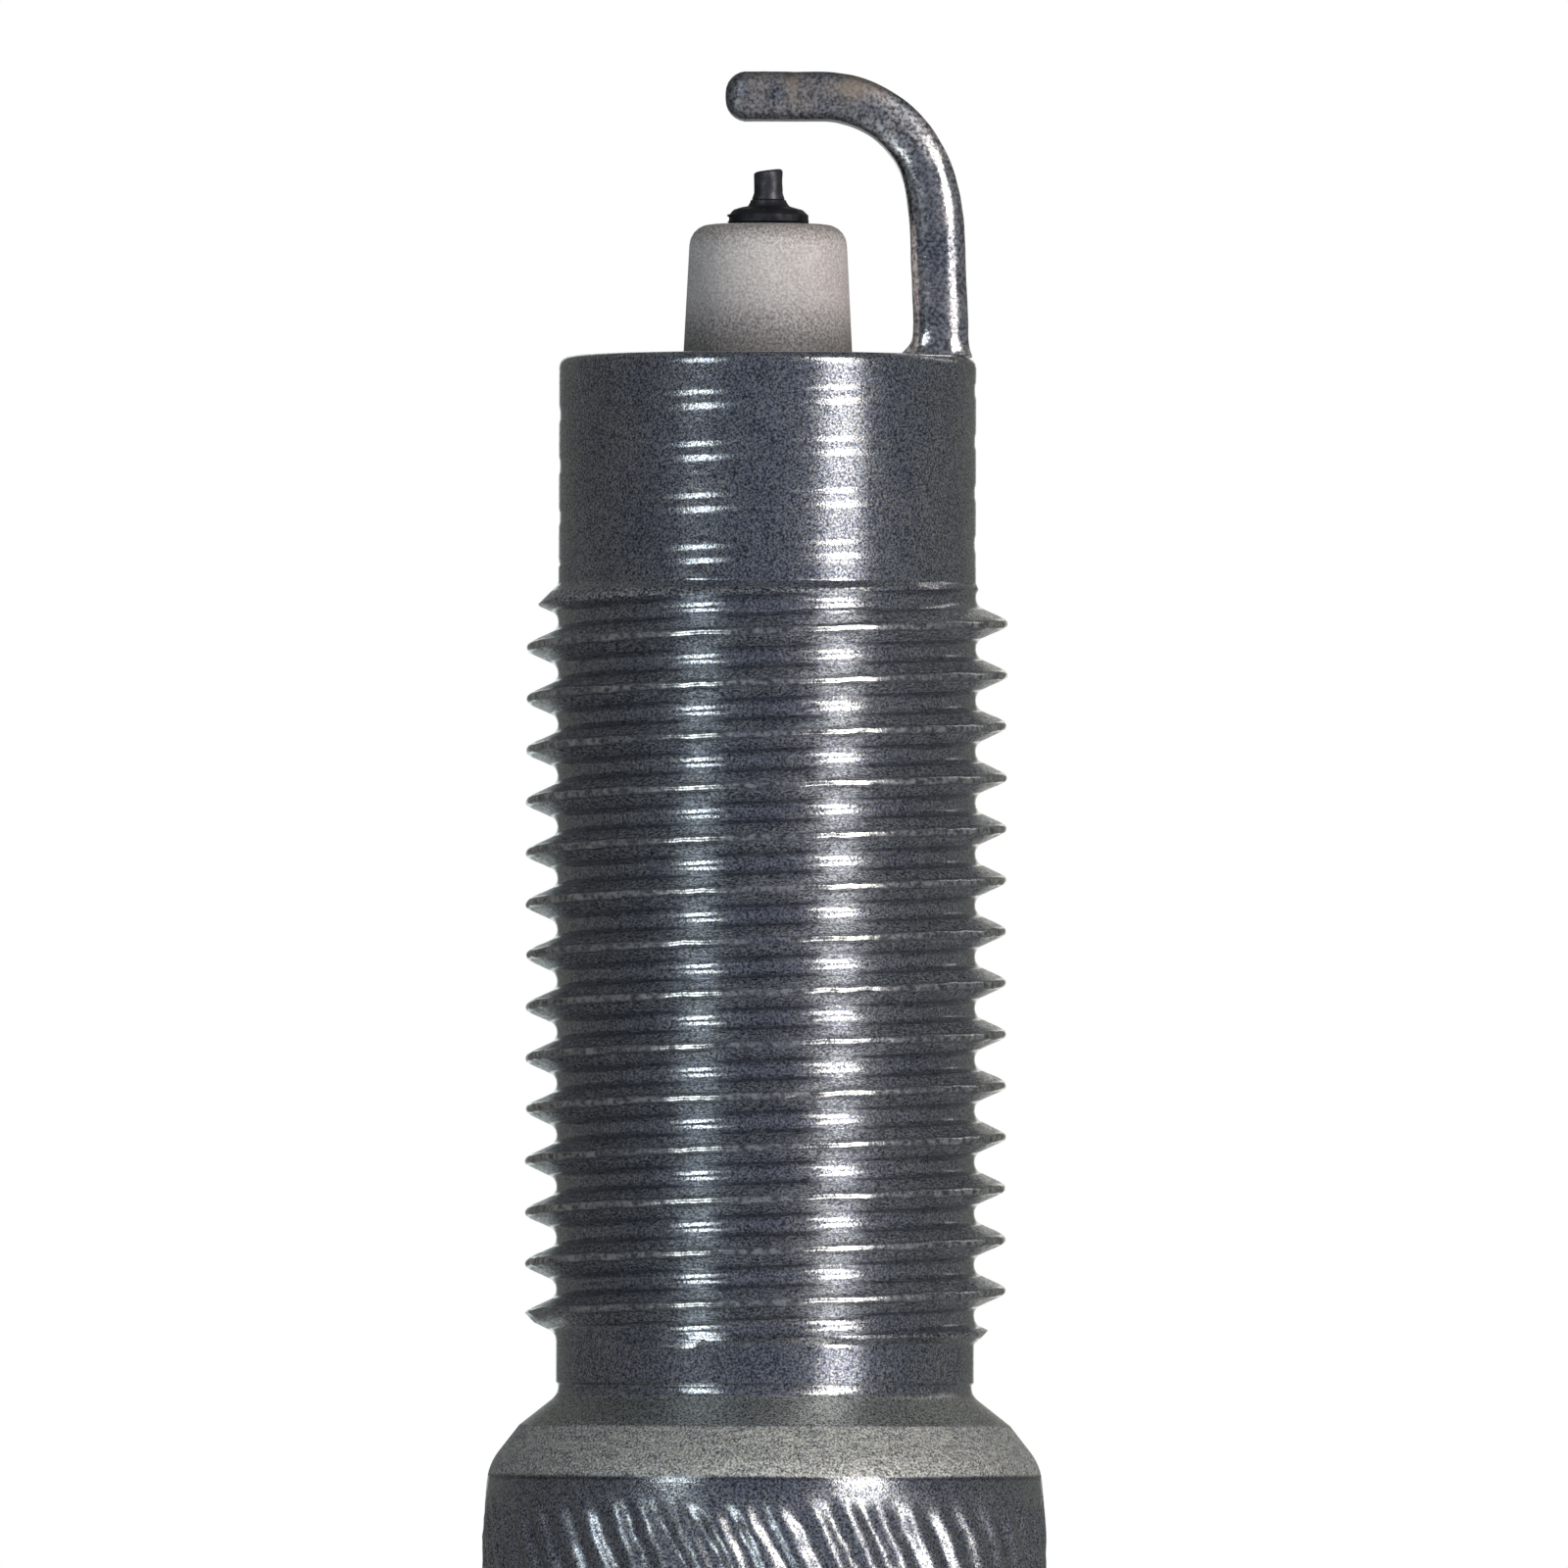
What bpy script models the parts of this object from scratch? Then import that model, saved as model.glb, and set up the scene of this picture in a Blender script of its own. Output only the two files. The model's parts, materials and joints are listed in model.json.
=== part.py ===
"""Spark plug with a conical seat, firing end up, as an assembly of separate pieces.

Units are metres. The Z axis is the plug's axis and +Z points to the firing end. The origin lies on the
axis at the gauge plane of the conical seat. +X is the side that the ground electrode is welded to.
"""

import math

import bmesh
import bpy

MM = 0.001

# Driving lengths along the axis.
REACH = 26.5 * MM                 # gauge plane to the shell's end face
TERMINAL_DEPTH = 50.5 * MM        # gauge plane to the end of the terminal nut
NOSE_LENGTH = 4.85 * MM           # plain end of the shell past its thread
NECK_LENGTH = 0.40 * MM           # plain neck between the seat and the thread
BARREL_DEPTH = 9.0 * MM           # gauge plane to the crimping groove
GROOVE_LENGTH = 2.2 * MM
HEX_HEIGHT = 8.0 * MM

# Shell.
THREAD_DIAMETER = 11.74 * MM      # M12 x 1.25, measured over the rolled crests
THREAD_PITCH = 1.25 * MM
THREAD_DEPTH = 0.79 * MM
THREAD_CREST = 0.16 * MM
THREAD_ROOT = 0.30 * MM
THREAD_FADE_TURNS = 1.2
NECK_RELIEF = 0.045 * MM          # the neck lies this much under the thread's root
NOSE_WALL = 1.45 * MM
FACE_EDGE = 0.2 * MM
CAVITY_DEPTH = 11.0 * MM          # open space round the insulator's nose
LEDGE_LENGTH = 1.6 * MM
LEDGE_STEP = 0.485 * MM           # how far the ledge stands into the cavity
LEDGE_ANGLE = math.radians(30)
SHOULDER_WIDTH = 1.005 * MM       # barrel past the thread's crests, on the radius
SEAT_LAND = 0.55 * MM             # barrel past the gauge circle, on the radius
SEAT_HALF_ANGLE = math.radians(38)
SEAT_ABOVE = 0.45 * MM
SEAT_BELOW = 0.30 * MM
SEAT_LEAD_ANGLE = math.radians(50)
SEAT_BLEND_RADIUS = 1.6 * MM
SEAT_BLEND_END = math.radians(5)
BARREL_WALL = 1.05 * MM
STEP_DEPTH = 1.5 * MM             # gauge plane to where the bore opens into the barrel
GROOVE_DEPTH = 0.5 * MM
GROOVE_BULGE = 0.22 * MM
GROOVE_EDGE = 0.35 * MM
HEX_FLATS = 16.0 * MM
HEX_CHAMFER_ANGLE = math.radians(30)
HEX_CHAMFER_INSET = 0.25 * MM
COLLAR_WALL = 1.225 * MM
COLLAR_STRAIGHT = 0.5 * MM
LIP_THICKNESS = 0.85 * MM

# Insulator.
INSULATOR_PROJECTION = 3.2 * MM   # past the shell's end face
INSULATOR_TIP_DIAMETER = 3.75 * MM
INSULATOR_MOUTH_DIAMETER = 4.01 * MM
INSULATOR_TIP_EDGE = 0.4 * MM
INSULATOR_BODY_DIAMETER = 7.4 * MM
INSULATOR_END_STEP = 0.45 * MM    # the rear end tapers in by this much
INSULATOR_END_EDGE = 0.7 * MM
INSULATOR_END_TAPER = 2.4 * MM
FLANGE_SHOULDER = 0.35 * MM
STACK_BORE_DIAMETER = 4.2 * MM    # bore that holds the glass, the resistor and the stud
RIB_PITCH = 2.7 * MM
RIB_HEIGHT = 0.42 * MM
RIB_LAND = 0.7 * MM
RIB_FIRST = 2.4 * MM              # shell's rear end to the first rib

# Electrodes.
SPARK_GAP = 1.1 * MM
WIRE_DIAMETER = 0.70 * MM
WIRE_LENGTH = 0.78 * MM
WIRE_EDGE = 0.05 * MM
CONE_HEIGHT = 0.25 * MM
CONE_TIP_LAND = 0.10 * MM         # flat round the wire's foot
CONE_BASE_LAND = 0.125 * MM       # flat round the cone's foot
SHANK_PROJECTION = 0.35 * MM      # centre electrode past the insulator's tip
SHANK_DIAMETER = 2.05 * MM
HEAD_LENGTH = 1.0 * MM
HEAD_STUB_WALL = 0.63 * MM
HEAD_STUB_LENGTH = 1.2 * MM
HEAD_SETBACK = 1.9 * MM           # insulator's shoulder to the top of the head's cone
SHEATH_WALL = 0.455 * MM          # nickel alloy round the copper core
CORE_COVER = 1.8 * MM             # solid metal between the copper core and the cone
CORE_CHAMFER = 0.2 * MM
STRAP_THICKNESS = 1.29 * MM
STRAP_WIDTH = 2.2 * MM
STRAP_EDGE = 0.35 * MM
STRAP_INSET = 0.185 * MM          # foot's outer face inside the shell's nose
STRAP_LEAN = math.radians(3.1)
STRAP_BEND_RADIUS = 2.45 * MM
STRAP_OVERLAP = 1.03 * MM         # arm's end past the axis
STRAP_END_ROUND = 0.6 * MM

# Parts in the bore and the packing.
LOWER_SEAL_LENGTH = 6.0 * MM
RESISTOR_LENGTH = 12.0 * MM
UPPER_SEAL_LENGTH = 6.5 * MM
SEAL_BOW = 0.25 * MM
STUD_TIP_STEP = 0.10 * MM         # the grooved tip is thinner than the shank
STUD_TIP_DEPTH = 3.4 * MM
STUD_TIP_GROOVES = 4
STUD_GROOVE_DEPTH = 0.2 * MM
STUD_THREAD_DIAMETER = 3.9 * MM   # M4 x 0.7
STUD_THREAD_PITCH = 0.7 * MM
STUD_THREAD_DEPTH = 0.40 * MM
STUD_THREAD_CREST = 0.09 * MM
STUD_THREAD_ROOT = 0.17 * MM
STUD_THREAD_FADE_TURNS = 0.6
STUD_END_SETBACK = 1.7 * MM       # stud's end inside the terminal nut
STUD_CHAMFER = 0.3 * MM
SEAT_PACKING_THICKNESS = 0.35 * MM
TALC_LENGTH = 4.9 * MM
TALC_SPACE = 0.925 * MM           # shell to insulator round the talc

# Terminal nut, of the plain round SAE shape.
NUT_LENGTH = 9.15 * MM
NUT_DIAMETER = 6.35 * MM
NUT_BASE_DIAMETER = 7.2 * MM
NUT_BASE_HEIGHT = 1.8 * MM
NUT_WAIST_DIAMETER = 5.5 * MM
NUT_WAIST_START = 2.6 * MM
NUT_WAIST_END = 4.9 * MM
NUT_END_ROUND = 0.9 * MM
NUT_EDGE = 0.3 * MM
NUT_ROOF = 1.5 * MM

# Fits between neighbours.
BODY_CLEARANCE = 0.10 * MM        # insulator in the shell, on the radius
BORE_CLEARANCE = 0.05 * MM        # a piece in the insulator's bore, on the radius
LEG_CLEARANCE = 0.35 * MM         # insulator's leg in the ledge, on the radius
HEAD_CLEARANCE = 0.15 * MM        # electrode's head in the bore, on the radius
STUD_CLEARANCE = 0.40 * MM        # stud's shank in the bore, on the radius
JOINT_GAP = 0.03 * MM             # faces that meet end to end
CORE_CLEARANCE = 0.02 * MM        # copper core in its sheath
PACKING_CLEARANCE = 0.05 * MM
NUT_CLEARANCE = 0.12 * MM         # nut's bore over the stud's thread, on the radius
LIP_CLEARANCE = 0.15 * MM

ROUND_SEGMENTS = 36
CORE_SEGMENTS = 18
WIRE_SEGMENTS = 12
PACKING_SECTION_SEGMENTS = 8
SHARP_ANGLE = math.radians(32)

# Shell sizes that follow.
thread_root_radius = THREAD_DIAMETER / 2 - THREAD_DEPTH
nose_radius = thread_root_radius
cavity_radius = nose_radius - NOSE_WALL
body_radius = INSULATOR_BODY_DIAMETER / 2
shell_bore_radius = body_radius + BODY_CLEARANCE
ledge_radius = cavity_radius - LEDGE_STEP
barrel_radius = THREAD_DIAMETER / 2 + SHOULDER_WIDTH
gauge_radius = barrel_radius - SEAT_LAND
barrel_bore_radius = barrel_radius - BARREL_WALL
flange_radius = barrel_bore_radius - BODY_CLEARANCE
rear_radius = barrel_bore_radius - TALC_SPACE
collar_radius = barrel_bore_radius + COLLAR_WALL
step_height = barrel_bore_radius - shell_bore_radius
ledge_top_z = REACH - CAVITY_DEPTH
ledge_z = ledge_top_z - LEDGE_LENGTH
hex_front_z = -BARREL_DEPTH - GROOVE_LENGTH
hex_rear_z = hex_front_z - HEX_HEIGHT
ring_wire_radius = TALC_SPACE / 2 - PACKING_CLEARANCE
ring_radius = (barrel_bore_radius + rear_radius) / 2
upper_ring_z = hex_rear_z - COLLAR_STRAIGHT
talc_rear_z = upper_ring_z + ring_wire_radius + PACKING_CLEARANCE
talc_front_z = talc_rear_z + TALC_LENGTH
lower_ring_z = talc_front_z + PACKING_CLEARANCE + ring_wire_radius
flange_rear_z = lower_ring_z + ring_wire_radius + PACKING_CLEARANCE
lip_radius = rear_radius + LIP_CLEARANCE
lip_z = upper_ring_z - ring_wire_radius - PACKING_CLEARANCE
shell_rear_z = lip_z - LIP_THICKNESS

# Insulator and electrode sizes that follow.
tip_z = REACH + INSULATOR_PROJECTION
packing_depth = SEAT_PACKING_THICKNESS + 2 * JOINT_GAP
leg_radius = ledge_radius - LEG_CLEARANCE
stack_radius = STACK_BORE_DIAMETER / 2
shank_radius = SHANK_DIAMETER / 2
nose_bore_radius = shank_radius + BORE_CLEARANCE
insulator_rear_z = -TERMINAL_DEPTH + NUT_LENGTH + JOINT_GAP
wire_base_z = tip_z + SHANK_PROJECTION + CONE_HEIGHT
wire_top_z = wire_base_z + WIRE_LENGTH
arm_under_z = wire_top_z + SPARK_GAP
head_radius = stack_radius - HEAD_CLEARANCE
core_hole_radius = shank_radius - SHEATH_WALL
stub_radius = core_hole_radius + HEAD_STUB_WALL
stud_shank_radius = stack_radius - STUD_CLEARANCE
stud_tip_radius = stud_shank_radius - STUD_TIP_STEP
wire_radius = WIRE_DIAMETER / 2


def ledge_line(radius, drop):
    """Height of the ledge's cone at a radius, less a drop towards the rear."""
    return ledge_z - (radius - ledge_radius) * math.tan(LEDGE_ANGLE) - drop


shoulder_z = ledge_line(leg_radius, packing_depth)
bore_step_top_z = shoulder_z - HEAD_SETBACK
bore_step_z = bore_step_top_z - (stack_radius - nose_bore_radius)
head_cone_top_z = bore_step_top_z - JOINT_GAP
head_z = head_cone_top_z - (head_radius - shank_radius)
head_rear_z = head_z - HEAD_LENGTH
electrode_rear_z = head_rear_z - HEAD_STUB_LENGTH
seal_front_z = head_rear_z - JOINT_GAP
resistor_front_z = seal_front_z - LOWER_SEAL_LENGTH
resistor_rear_z = resistor_front_z - RESISTOR_LENGTH
upper_seal_rear_z = resistor_rear_z - UPPER_SEAL_LENGTH
stud_tip_z = upper_seal_rear_z + STUD_TIP_DEPTH
stud_end_z = -TERMINAL_DEPTH + STUD_END_SETBACK


def clear_scene():
    """Removes whatever the file opened with."""
    for item in list(bpy.data.objects):
        bpy.data.objects.remove(item, do_unlink=True)


def finish(name, colour, roughness, metallic):
    """A plain Principled material."""
    made = bpy.data.materials.new(name)
    made.use_nodes = True
    shader = made.node_tree.nodes["Principled BSDF"]
    shader.inputs["Base Color"].default_value = (*colour, 1.0)
    shader.inputs["Roughness"].default_value = roughness
    shader.inputs["Metallic"].default_value = metallic
    made.diffuse_color = (*colour, 1.0)
    return made


def add_node(name, bm, material, smooth=True):
    """Turns a bmesh into a named object with outward faces and one material."""
    bmesh.ops.recalc_face_normals(bm, faces=bm.faces)
    mesh = bpy.data.meshes.new(name)
    bm.to_mesh(mesh)
    bm.free()
    mesh.materials.append(material)
    if smooth:
        mesh.shade_smooth()
        mesh.set_sharp_from_angle(angle=SHARP_ANGLE)
    node = bpy.data.objects.new(name, mesh)
    bpy.context.scene.collection.objects.link(node)
    return node


def arc(centre, radius, start, end, steps):
    """Points of an arc in a (radius, height) profile; angles in degrees from the outward direction."""
    points = []
    for step in range(steps + 1):
        angle = math.radians(start + (end - start) * step / steps)
        points.append((centre[0] + radius * math.cos(angle), centre[1] + radius * math.sin(angle)))
    return points


def ring(bm, radius, height, segments):
    """A ring of vertices round the axis; radius and height are numbers or functions of the angle."""
    if radius == 0:
        return [bm.verts.new((0.0, 0.0, height))]
    verts = []
    for step in range(segments):
        angle = 2 * math.pi * step / segments
        out = radius(angle) if callable(radius) else radius
        up = height(angle) if callable(height) else height
        verts.append(bm.verts.new((out * math.cos(angle), out * math.sin(angle), up)))
    return verts


def skin(bm, first, second):
    """Faces between two rings; either may be a single point on the axis."""
    count = max(len(first), len(second))
    for step in range(count):
        following = (step + 1) % count
        corners = [first[step % len(first)], first[following % len(first)]]
        corners += [second[following % len(second)], second[step % len(second)]]
        bm.faces.new(list(dict.fromkeys(corners)))


def skin_chain(bm, profile, segments):
    """Rings for a list of (radius, height) points, with faces between neighbours."""
    rings = [ring(bm, radius, height, segments) for radius, height in profile]
    for first, second in zip(rings, rings[1:]):
        skin(bm, first, second)
    return rings


def turned(name, profile, material, segments=ROUND_SEGMENTS):
    """A turned solid. A profile that starts on the axis ends on it; any other is a closed loop."""
    bm = bmesh.new()
    rings = skin_chain(bm, profile, segments)
    if len(rings[0]) > 1:
        skin(bm, rings[-1], rings[0])
    return add_node(name, bm, material)


def helical_thread(bm, lower, upper, start_z, end_z, start_step, root_radius, pitch, form, fade_turns):
    """A right-hand thread from one ring up to another; form is (depth, crest width, root width)."""
    depth, crest, root = form
    segments = len(lower)
    flank = (pitch - crest - root) / 2
    offsets = (0.0, flank, flank + crest, 2 * flank + crest)
    heights = (0.0, depth, depth, 0.0)
    steps = int((end_z - start_z - pitch) / pitch * segments)
    fade_steps = fade_turns * segments
    rows = []
    for step in range(steps + 1):
        angle = 2 * math.pi * (step + start_step) / segments
        fade = min(1.0, step / fade_steps, (steps - step) / fade_steps)
        base_z = start_z + pitch * step / segments
        row = []
        for offset, height in zip(offsets, heights):
            radius = root_radius + height * fade
            row.append(bm.verts.new((radius * math.cos(angle), radius * math.sin(angle), base_z + offset)))
        rows.append(row)
    for step in range(steps):
        here, after = rows[step], rows[step + 1]
        for line in range(3):
            bm.faces.new((here[line], after[line], after[line + 1], here[line + 1]))
        if step + segments + 1 <= steps:
            bm.faces.new((here[3], after[3], rows[step + segments + 1][0], rows[step + segments][0]))
    close_thread_start(bm, lower, rows, start_step)
    close_thread_end(bm, upper, rows, start_step)


def close_thread_start(bm, lower, rows, start_step):
    """Faces between the lower ring and the first turn, whose seam is one straight line of vertices."""
    segments = len(lower)
    for step in range(segments):
        near = lower[(step + start_step) % segments]
        far = lower[(step + 1 + start_step) % segments]
        corners = [near, far, rows[step + 1][0], rows[step][0]]
        if step == segments - 1:
            corners = [near, far, *rows[0], rows[segments][0], rows[step][0]]
        bm.faces.new(corners)


def close_thread_end(bm, upper, rows, start_step):
    """Faces between the last turn and the upper ring."""
    segments = len(upper)
    last = len(rows) - 1
    for turn_step in range(segments):
        step = last - segments + turn_step
        near = upper[(step + start_step) % segments]
        far = upper[(step + 1 + start_step) % segments]
        corners = [rows[step][3], rows[step + 1][3], far, near]
        if turn_step == 0:
            corners = [rows[step][3], rows[step + 1][3], far, near, *reversed(rows[last])]
        bm.faces.new(corners)


def hex_radius(angle):
    """Distance from the axis to a hexagon with corners on +X, at an angle."""
    sector = math.radians(60)
    return HEX_FLATS / 2 / math.cos((angle % sector) - sector / 2)


def hex_chamfer(face_z, direction):
    """Height of the chamfer's edge on the hexagon, as a function of the angle."""
    inset_radius = HEX_FLATS / 2 - HEX_CHAMFER_INSET

    def height(angle):
        return face_z + direction * (hex_radius(angle) - inset_radius) * math.tan(HEX_CHAMFER_ANGLE)

    return height


def seat_profile():
    """Barrel edge, rounded seat edge, seat cone and lead-in cone, from the rear up to the neck."""
    blend_radius = gauge_radius + SEAT_BELOW * math.tan(SEAT_HALF_ANGLE)
    centre_r = blend_radius - SEAT_BLEND_RADIUS * math.cos(SEAT_HALF_ANGLE)
    centre_z = -SEAT_BELOW - SEAT_BLEND_RADIUS * math.sin(SEAT_HALF_ANGLE)
    limit = barrel_radius - SEAT_BLEND_RADIUS * math.cos(SEAT_BLEND_END)
    shift = min(0.0, limit - centre_r)
    edge_r = centre_r + shift + SEAT_BLEND_RADIUS * math.cos(SEAT_BLEND_END)
    edge_z = centre_z + SEAT_BLEND_RADIUS * math.sin(SEAT_BLEND_END)
    taper = (barrel_radius - edge_r) / math.tan(SEAT_BLEND_END)
    points = [(barrel_radius, edge_z - taper)]
    start, end = math.degrees(SEAT_BLEND_END), math.degrees(SEAT_HALF_ANGLE)
    points += arc((centre_r + shift, centre_z), SEAT_BLEND_RADIUS, start, end, 3)
    lead_radius = gauge_radius - SEAT_ABOVE * math.tan(SEAT_HALF_ANGLE)
    neck_radius = thread_root_radius - NECK_RELIEF
    lead_height = (lead_radius - neck_radius) / math.tan(SEAT_LEAD_ANGLE)
    points.append((lead_radius, SEAT_ABOVE))
    points.append((neck_radius, SEAT_ABOVE + lead_height))
    points.append((neck_radius, SEAT_ABOVE + lead_height + NECK_LENGTH))
    return points


def shell_bore_profile():
    """The shell's inside and its crimped rear end, from the end face back to the hexagon."""
    points = arc((nose_radius - FACE_EDGE, REACH - FACE_EDGE), FACE_EDGE, 0, 90, 2)
    points.append((cavity_radius, REACH))
    points.append((cavity_radius, ledge_top_z + (cavity_radius - ledge_radius)))
    points.append((ledge_radius, ledge_top_z))
    points.append((ledge_radius, ledge_z))
    points.append((shell_bore_radius, ledge_line(shell_bore_radius, 0)))
    points.append((shell_bore_radius, -STEP_DEPTH))
    points.append((barrel_bore_radius, -STEP_DEPTH - step_height))
    points += arc((ring_radius, upper_ring_z), TALC_SPACE / 2, 0, -90, 4)
    points.append((lip_radius, lip_z - LIP_THICKNESS / 3))
    points.append((lip_radius, shell_rear_z + LIP_THICKNESS / 4))
    points.append((lip_radius + LIP_THICKNESS / 3, shell_rear_z))
    collar_round = collar_radius - ring_radius
    points += arc((ring_radius, shell_rear_z + collar_round), collar_round, -90, 0, 4)
    points.append((collar_radius, hex_rear_z))
    return points


def shell_hex_and_groove(bm, first):
    """Rings of the hexagon, the crimping groove and the barrel, from the rear; returns the last ring."""
    inset_radius = HEX_FLATS / 2 - HEX_CHAMFER_INSET
    rings = [first]
    rings.append(ring(bm, inset_radius, hex_rear_z, ROUND_SEGMENTS))
    rings.append(ring(bm, hex_radius, hex_chamfer(hex_rear_z, 1), ROUND_SEGMENTS))
    rings.append(ring(bm, hex_radius, hex_chamfer(hex_front_z, -1), ROUND_SEGMENTS))
    rings.append(ring(bm, inset_radius, hex_front_z, ROUND_SEGMENTS))
    groove_radius = barrel_radius - GROOVE_DEPTH
    middle_z = (hex_front_z - BARREL_DEPTH) / 2
    rings.append(ring(bm, groove_radius, hex_front_z, ROUND_SEGMENTS))
    rings.append(ring(bm, groove_radius, hex_front_z + GROOVE_EDGE, ROUND_SEGMENTS))
    rings.append(ring(bm, groove_radius + GROOVE_BULGE, middle_z, ROUND_SEGMENTS))
    rings.append(ring(bm, groove_radius, -BARREL_DEPTH - GROOVE_EDGE, ROUND_SEGMENTS))
    rings.append(ring(bm, barrel_radius, -BARREL_DEPTH, ROUND_SEGMENTS))
    for here, after in zip(rings, rings[1:]):
        skin(bm, here, after)
    return rings[-1]


def make_shell(material):
    """The steel shell: bore, crimped lip, hexagon, barrel, conical seat and rolled thread in one piece."""
    bm = bmesh.new()
    thread_end_z = REACH - NOSE_LENGTH
    nose = ring(bm, nose_radius, thread_end_z, ROUND_SEGMENTS)
    inside = skin_chain(bm, shell_bore_profile(), ROUND_SEGMENTS)
    skin(bm, nose, inside[0])
    barrel = shell_hex_and_groove(bm, inside[-1])
    seat = skin_chain(bm, seat_profile(), ROUND_SEGMENTS)
    skin(bm, barrel, seat[0])
    start_z = seat[-1][0].co.z + THREAD_ROOT / 4
    form = (THREAD_DEPTH, THREAD_CREST, THREAD_ROOT)
    quarter_turn = ROUND_SEGMENTS // 4
    helical_thread(bm, seat[-1], nose, start_z, thread_end_z, -quarter_turn, thread_root_radius,
                   THREAD_PITCH, form, THREAD_FADE_TURNS)
    return add_node("metal_shell", bm, material)


def strap_stations():
    """Centre, direction across the thickness and half thickness along the ground electrode."""
    half = STRAP_THICKNESS / 2
    foot_x = nose_radius - STRAP_INSET - half
    foot_z = REACH + JOINT_GAP
    arm_z = arm_under_z + half
    centre_z = arm_z - STRAP_BEND_RADIUS
    leg_x = foot_x - (centre_z - foot_z) * math.tan(STRAP_LEAN)
    centre_x = leg_x - STRAP_BEND_RADIUS / math.cos(STRAP_LEAN)
    stations = [((foot_x, foot_z), STRAP_LEAN, half)]
    bend_steps = 10
    for step in range(bend_steps + 1):
        angle = STRAP_LEAN + (math.pi / 2 - STRAP_LEAN) * step / bend_steps
        out, up = STRAP_BEND_RADIUS * math.cos(angle), STRAP_BEND_RADIUS * math.sin(angle)
        stations.append(((centre_x + out, centre_z + up), angle, half))
    rounding = min(STRAP_END_ROUND, half * 0.95)
    for turned_by in (90, 60, 30, 0):
        inset = rounding * (1 - math.cos(math.radians(turned_by)))
        edge = half - rounding + rounding * math.sin(math.radians(turned_by))
        stations.append(((-STRAP_OVERLAP + inset, arm_z), math.pi / 2, edge))
    return stations


def strap_section(half_thickness):
    """A rounded rectangle as (across the thickness, across the width) points."""
    edge = min(STRAP_EDGE, half_thickness * 0.9)
    points = []
    for across, along, start in ((1, 1, 0), (-1, 1, 90), (-1, -1, 180), (1, -1, 270)):
        centre = (across * (half_thickness - edge), along * (STRAP_WIDTH / 2 - edge))
        points += arc(centre, edge, start, start + 90, 3)
    return points


def make_ground_electrode(material):
    """The bent strap that is welded to the shell's end face."""
    bm = bmesh.new()
    rings = []
    for index, (centre, angle, half) in enumerate(strap_stations()):
        out_x, out_z = math.cos(angle), math.sin(angle)
        verts = []
        for across, along in strap_section(half):
            x = centre[0] + across * out_x
            z = centre[1] + across * out_z if index else centre[1]
            verts.append(bm.verts.new((x, along, z)))
        rings.append(verts)
    for first, second in zip(rings, rings[1:]):
        skin(bm, first, second)
    bm.faces.new(rings[0])
    bm.faces.new(rings[-1])
    return add_node("ground_electrode", bm, material)


def insulator_outside():
    """Outer profile from the tip back to the rear end."""
    edge = INSULATOR_TIP_EDGE
    points = arc((INSULATOR_TIP_DIAMETER / 2 - edge, tip_z - edge), edge, 90, 0, 4)
    points.append((INSULATOR_MOUTH_DIAMETER / 2, REACH))
    points.append((leg_radius, shoulder_z))
    points.append((body_radius, ledge_line(body_radius, packing_depth)))
    points.append((body_radius, -STEP_DEPTH - BODY_CLEARANCE))
    points.append((flange_radius, -STEP_DEPTH - step_height - BODY_CLEARANCE))
    points.append((flange_radius, flange_rear_z + FLANGE_SHOULDER))
    points.append((rear_radius, flange_rear_z))
    return points + insulator_ribs() + insulator_end()


def insulator_ribs():
    """As many round ribs as fit between the shell and the tapered end."""
    first_z = shell_rear_z - RIB_FIRST
    room = first_z - (insulator_rear_z + INSULATOR_END_TAPER)
    points = []
    for index in range(max(0, int(room / RIB_PITCH))):
        top_z = first_z - index * RIB_PITCH
        points.append((rear_radius, top_z))
        points.append((rear_radius + RIB_HEIGHT, top_z - RIB_LAND / 2))
        points.append((rear_radius + RIB_HEIGHT, top_z - RIB_LAND))
        points.append((rear_radius, top_z - RIB_LAND * 1.5))
    return points


def insulator_end():
    """The tapered rear end, its rounded edge, and the bore's mouth."""
    edge = INSULATOR_END_EDGE
    end_radius = rear_radius - INSULATOR_END_STEP
    points = [(rear_radius, insulator_rear_z + INSULATOR_END_TAPER)]
    points += arc((end_radius - edge, insulator_rear_z + edge), edge, 0, -90, 3)
    return points


def make_insulator(material):
    """The one-piece ceramic insulator with its stepped bore."""
    points = insulator_outside()
    points.append((stack_radius, insulator_rear_z))
    points.append((stack_radius, bore_step_z))
    points.append((nose_bore_radius, bore_step_top_z))
    points.append((nose_bore_radius, tip_z))
    return turned("insulator", points, material)


def make_centre_electrode(material):
    """The nickel-alloy sheath: weld cone, shank, head and stub, open at the rear for its core."""
    shank_top_z = tip_z + SHANK_PROJECTION
    points = [(0, wire_base_z)]
    points.append((wire_radius + CONE_TIP_LAND, wire_base_z))
    points.append((shank_radius - CONE_BASE_LAND, shank_top_z))
    points.append((shank_radius, shank_top_z))
    points.append((shank_radius, head_cone_top_z))
    points.append((head_radius, head_z))
    points.append((head_radius, head_rear_z))
    points.append((stub_radius, head_rear_z))
    points.append((stub_radius, electrode_rear_z))
    points.append((core_hole_radius, electrode_rear_z))
    points.append((core_hole_radius, shank_top_z - CORE_COVER))
    points.append((0, shank_top_z - CORE_COVER))
    return turned("centre_electrode", points, material, CORE_SEGMENTS)


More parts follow.
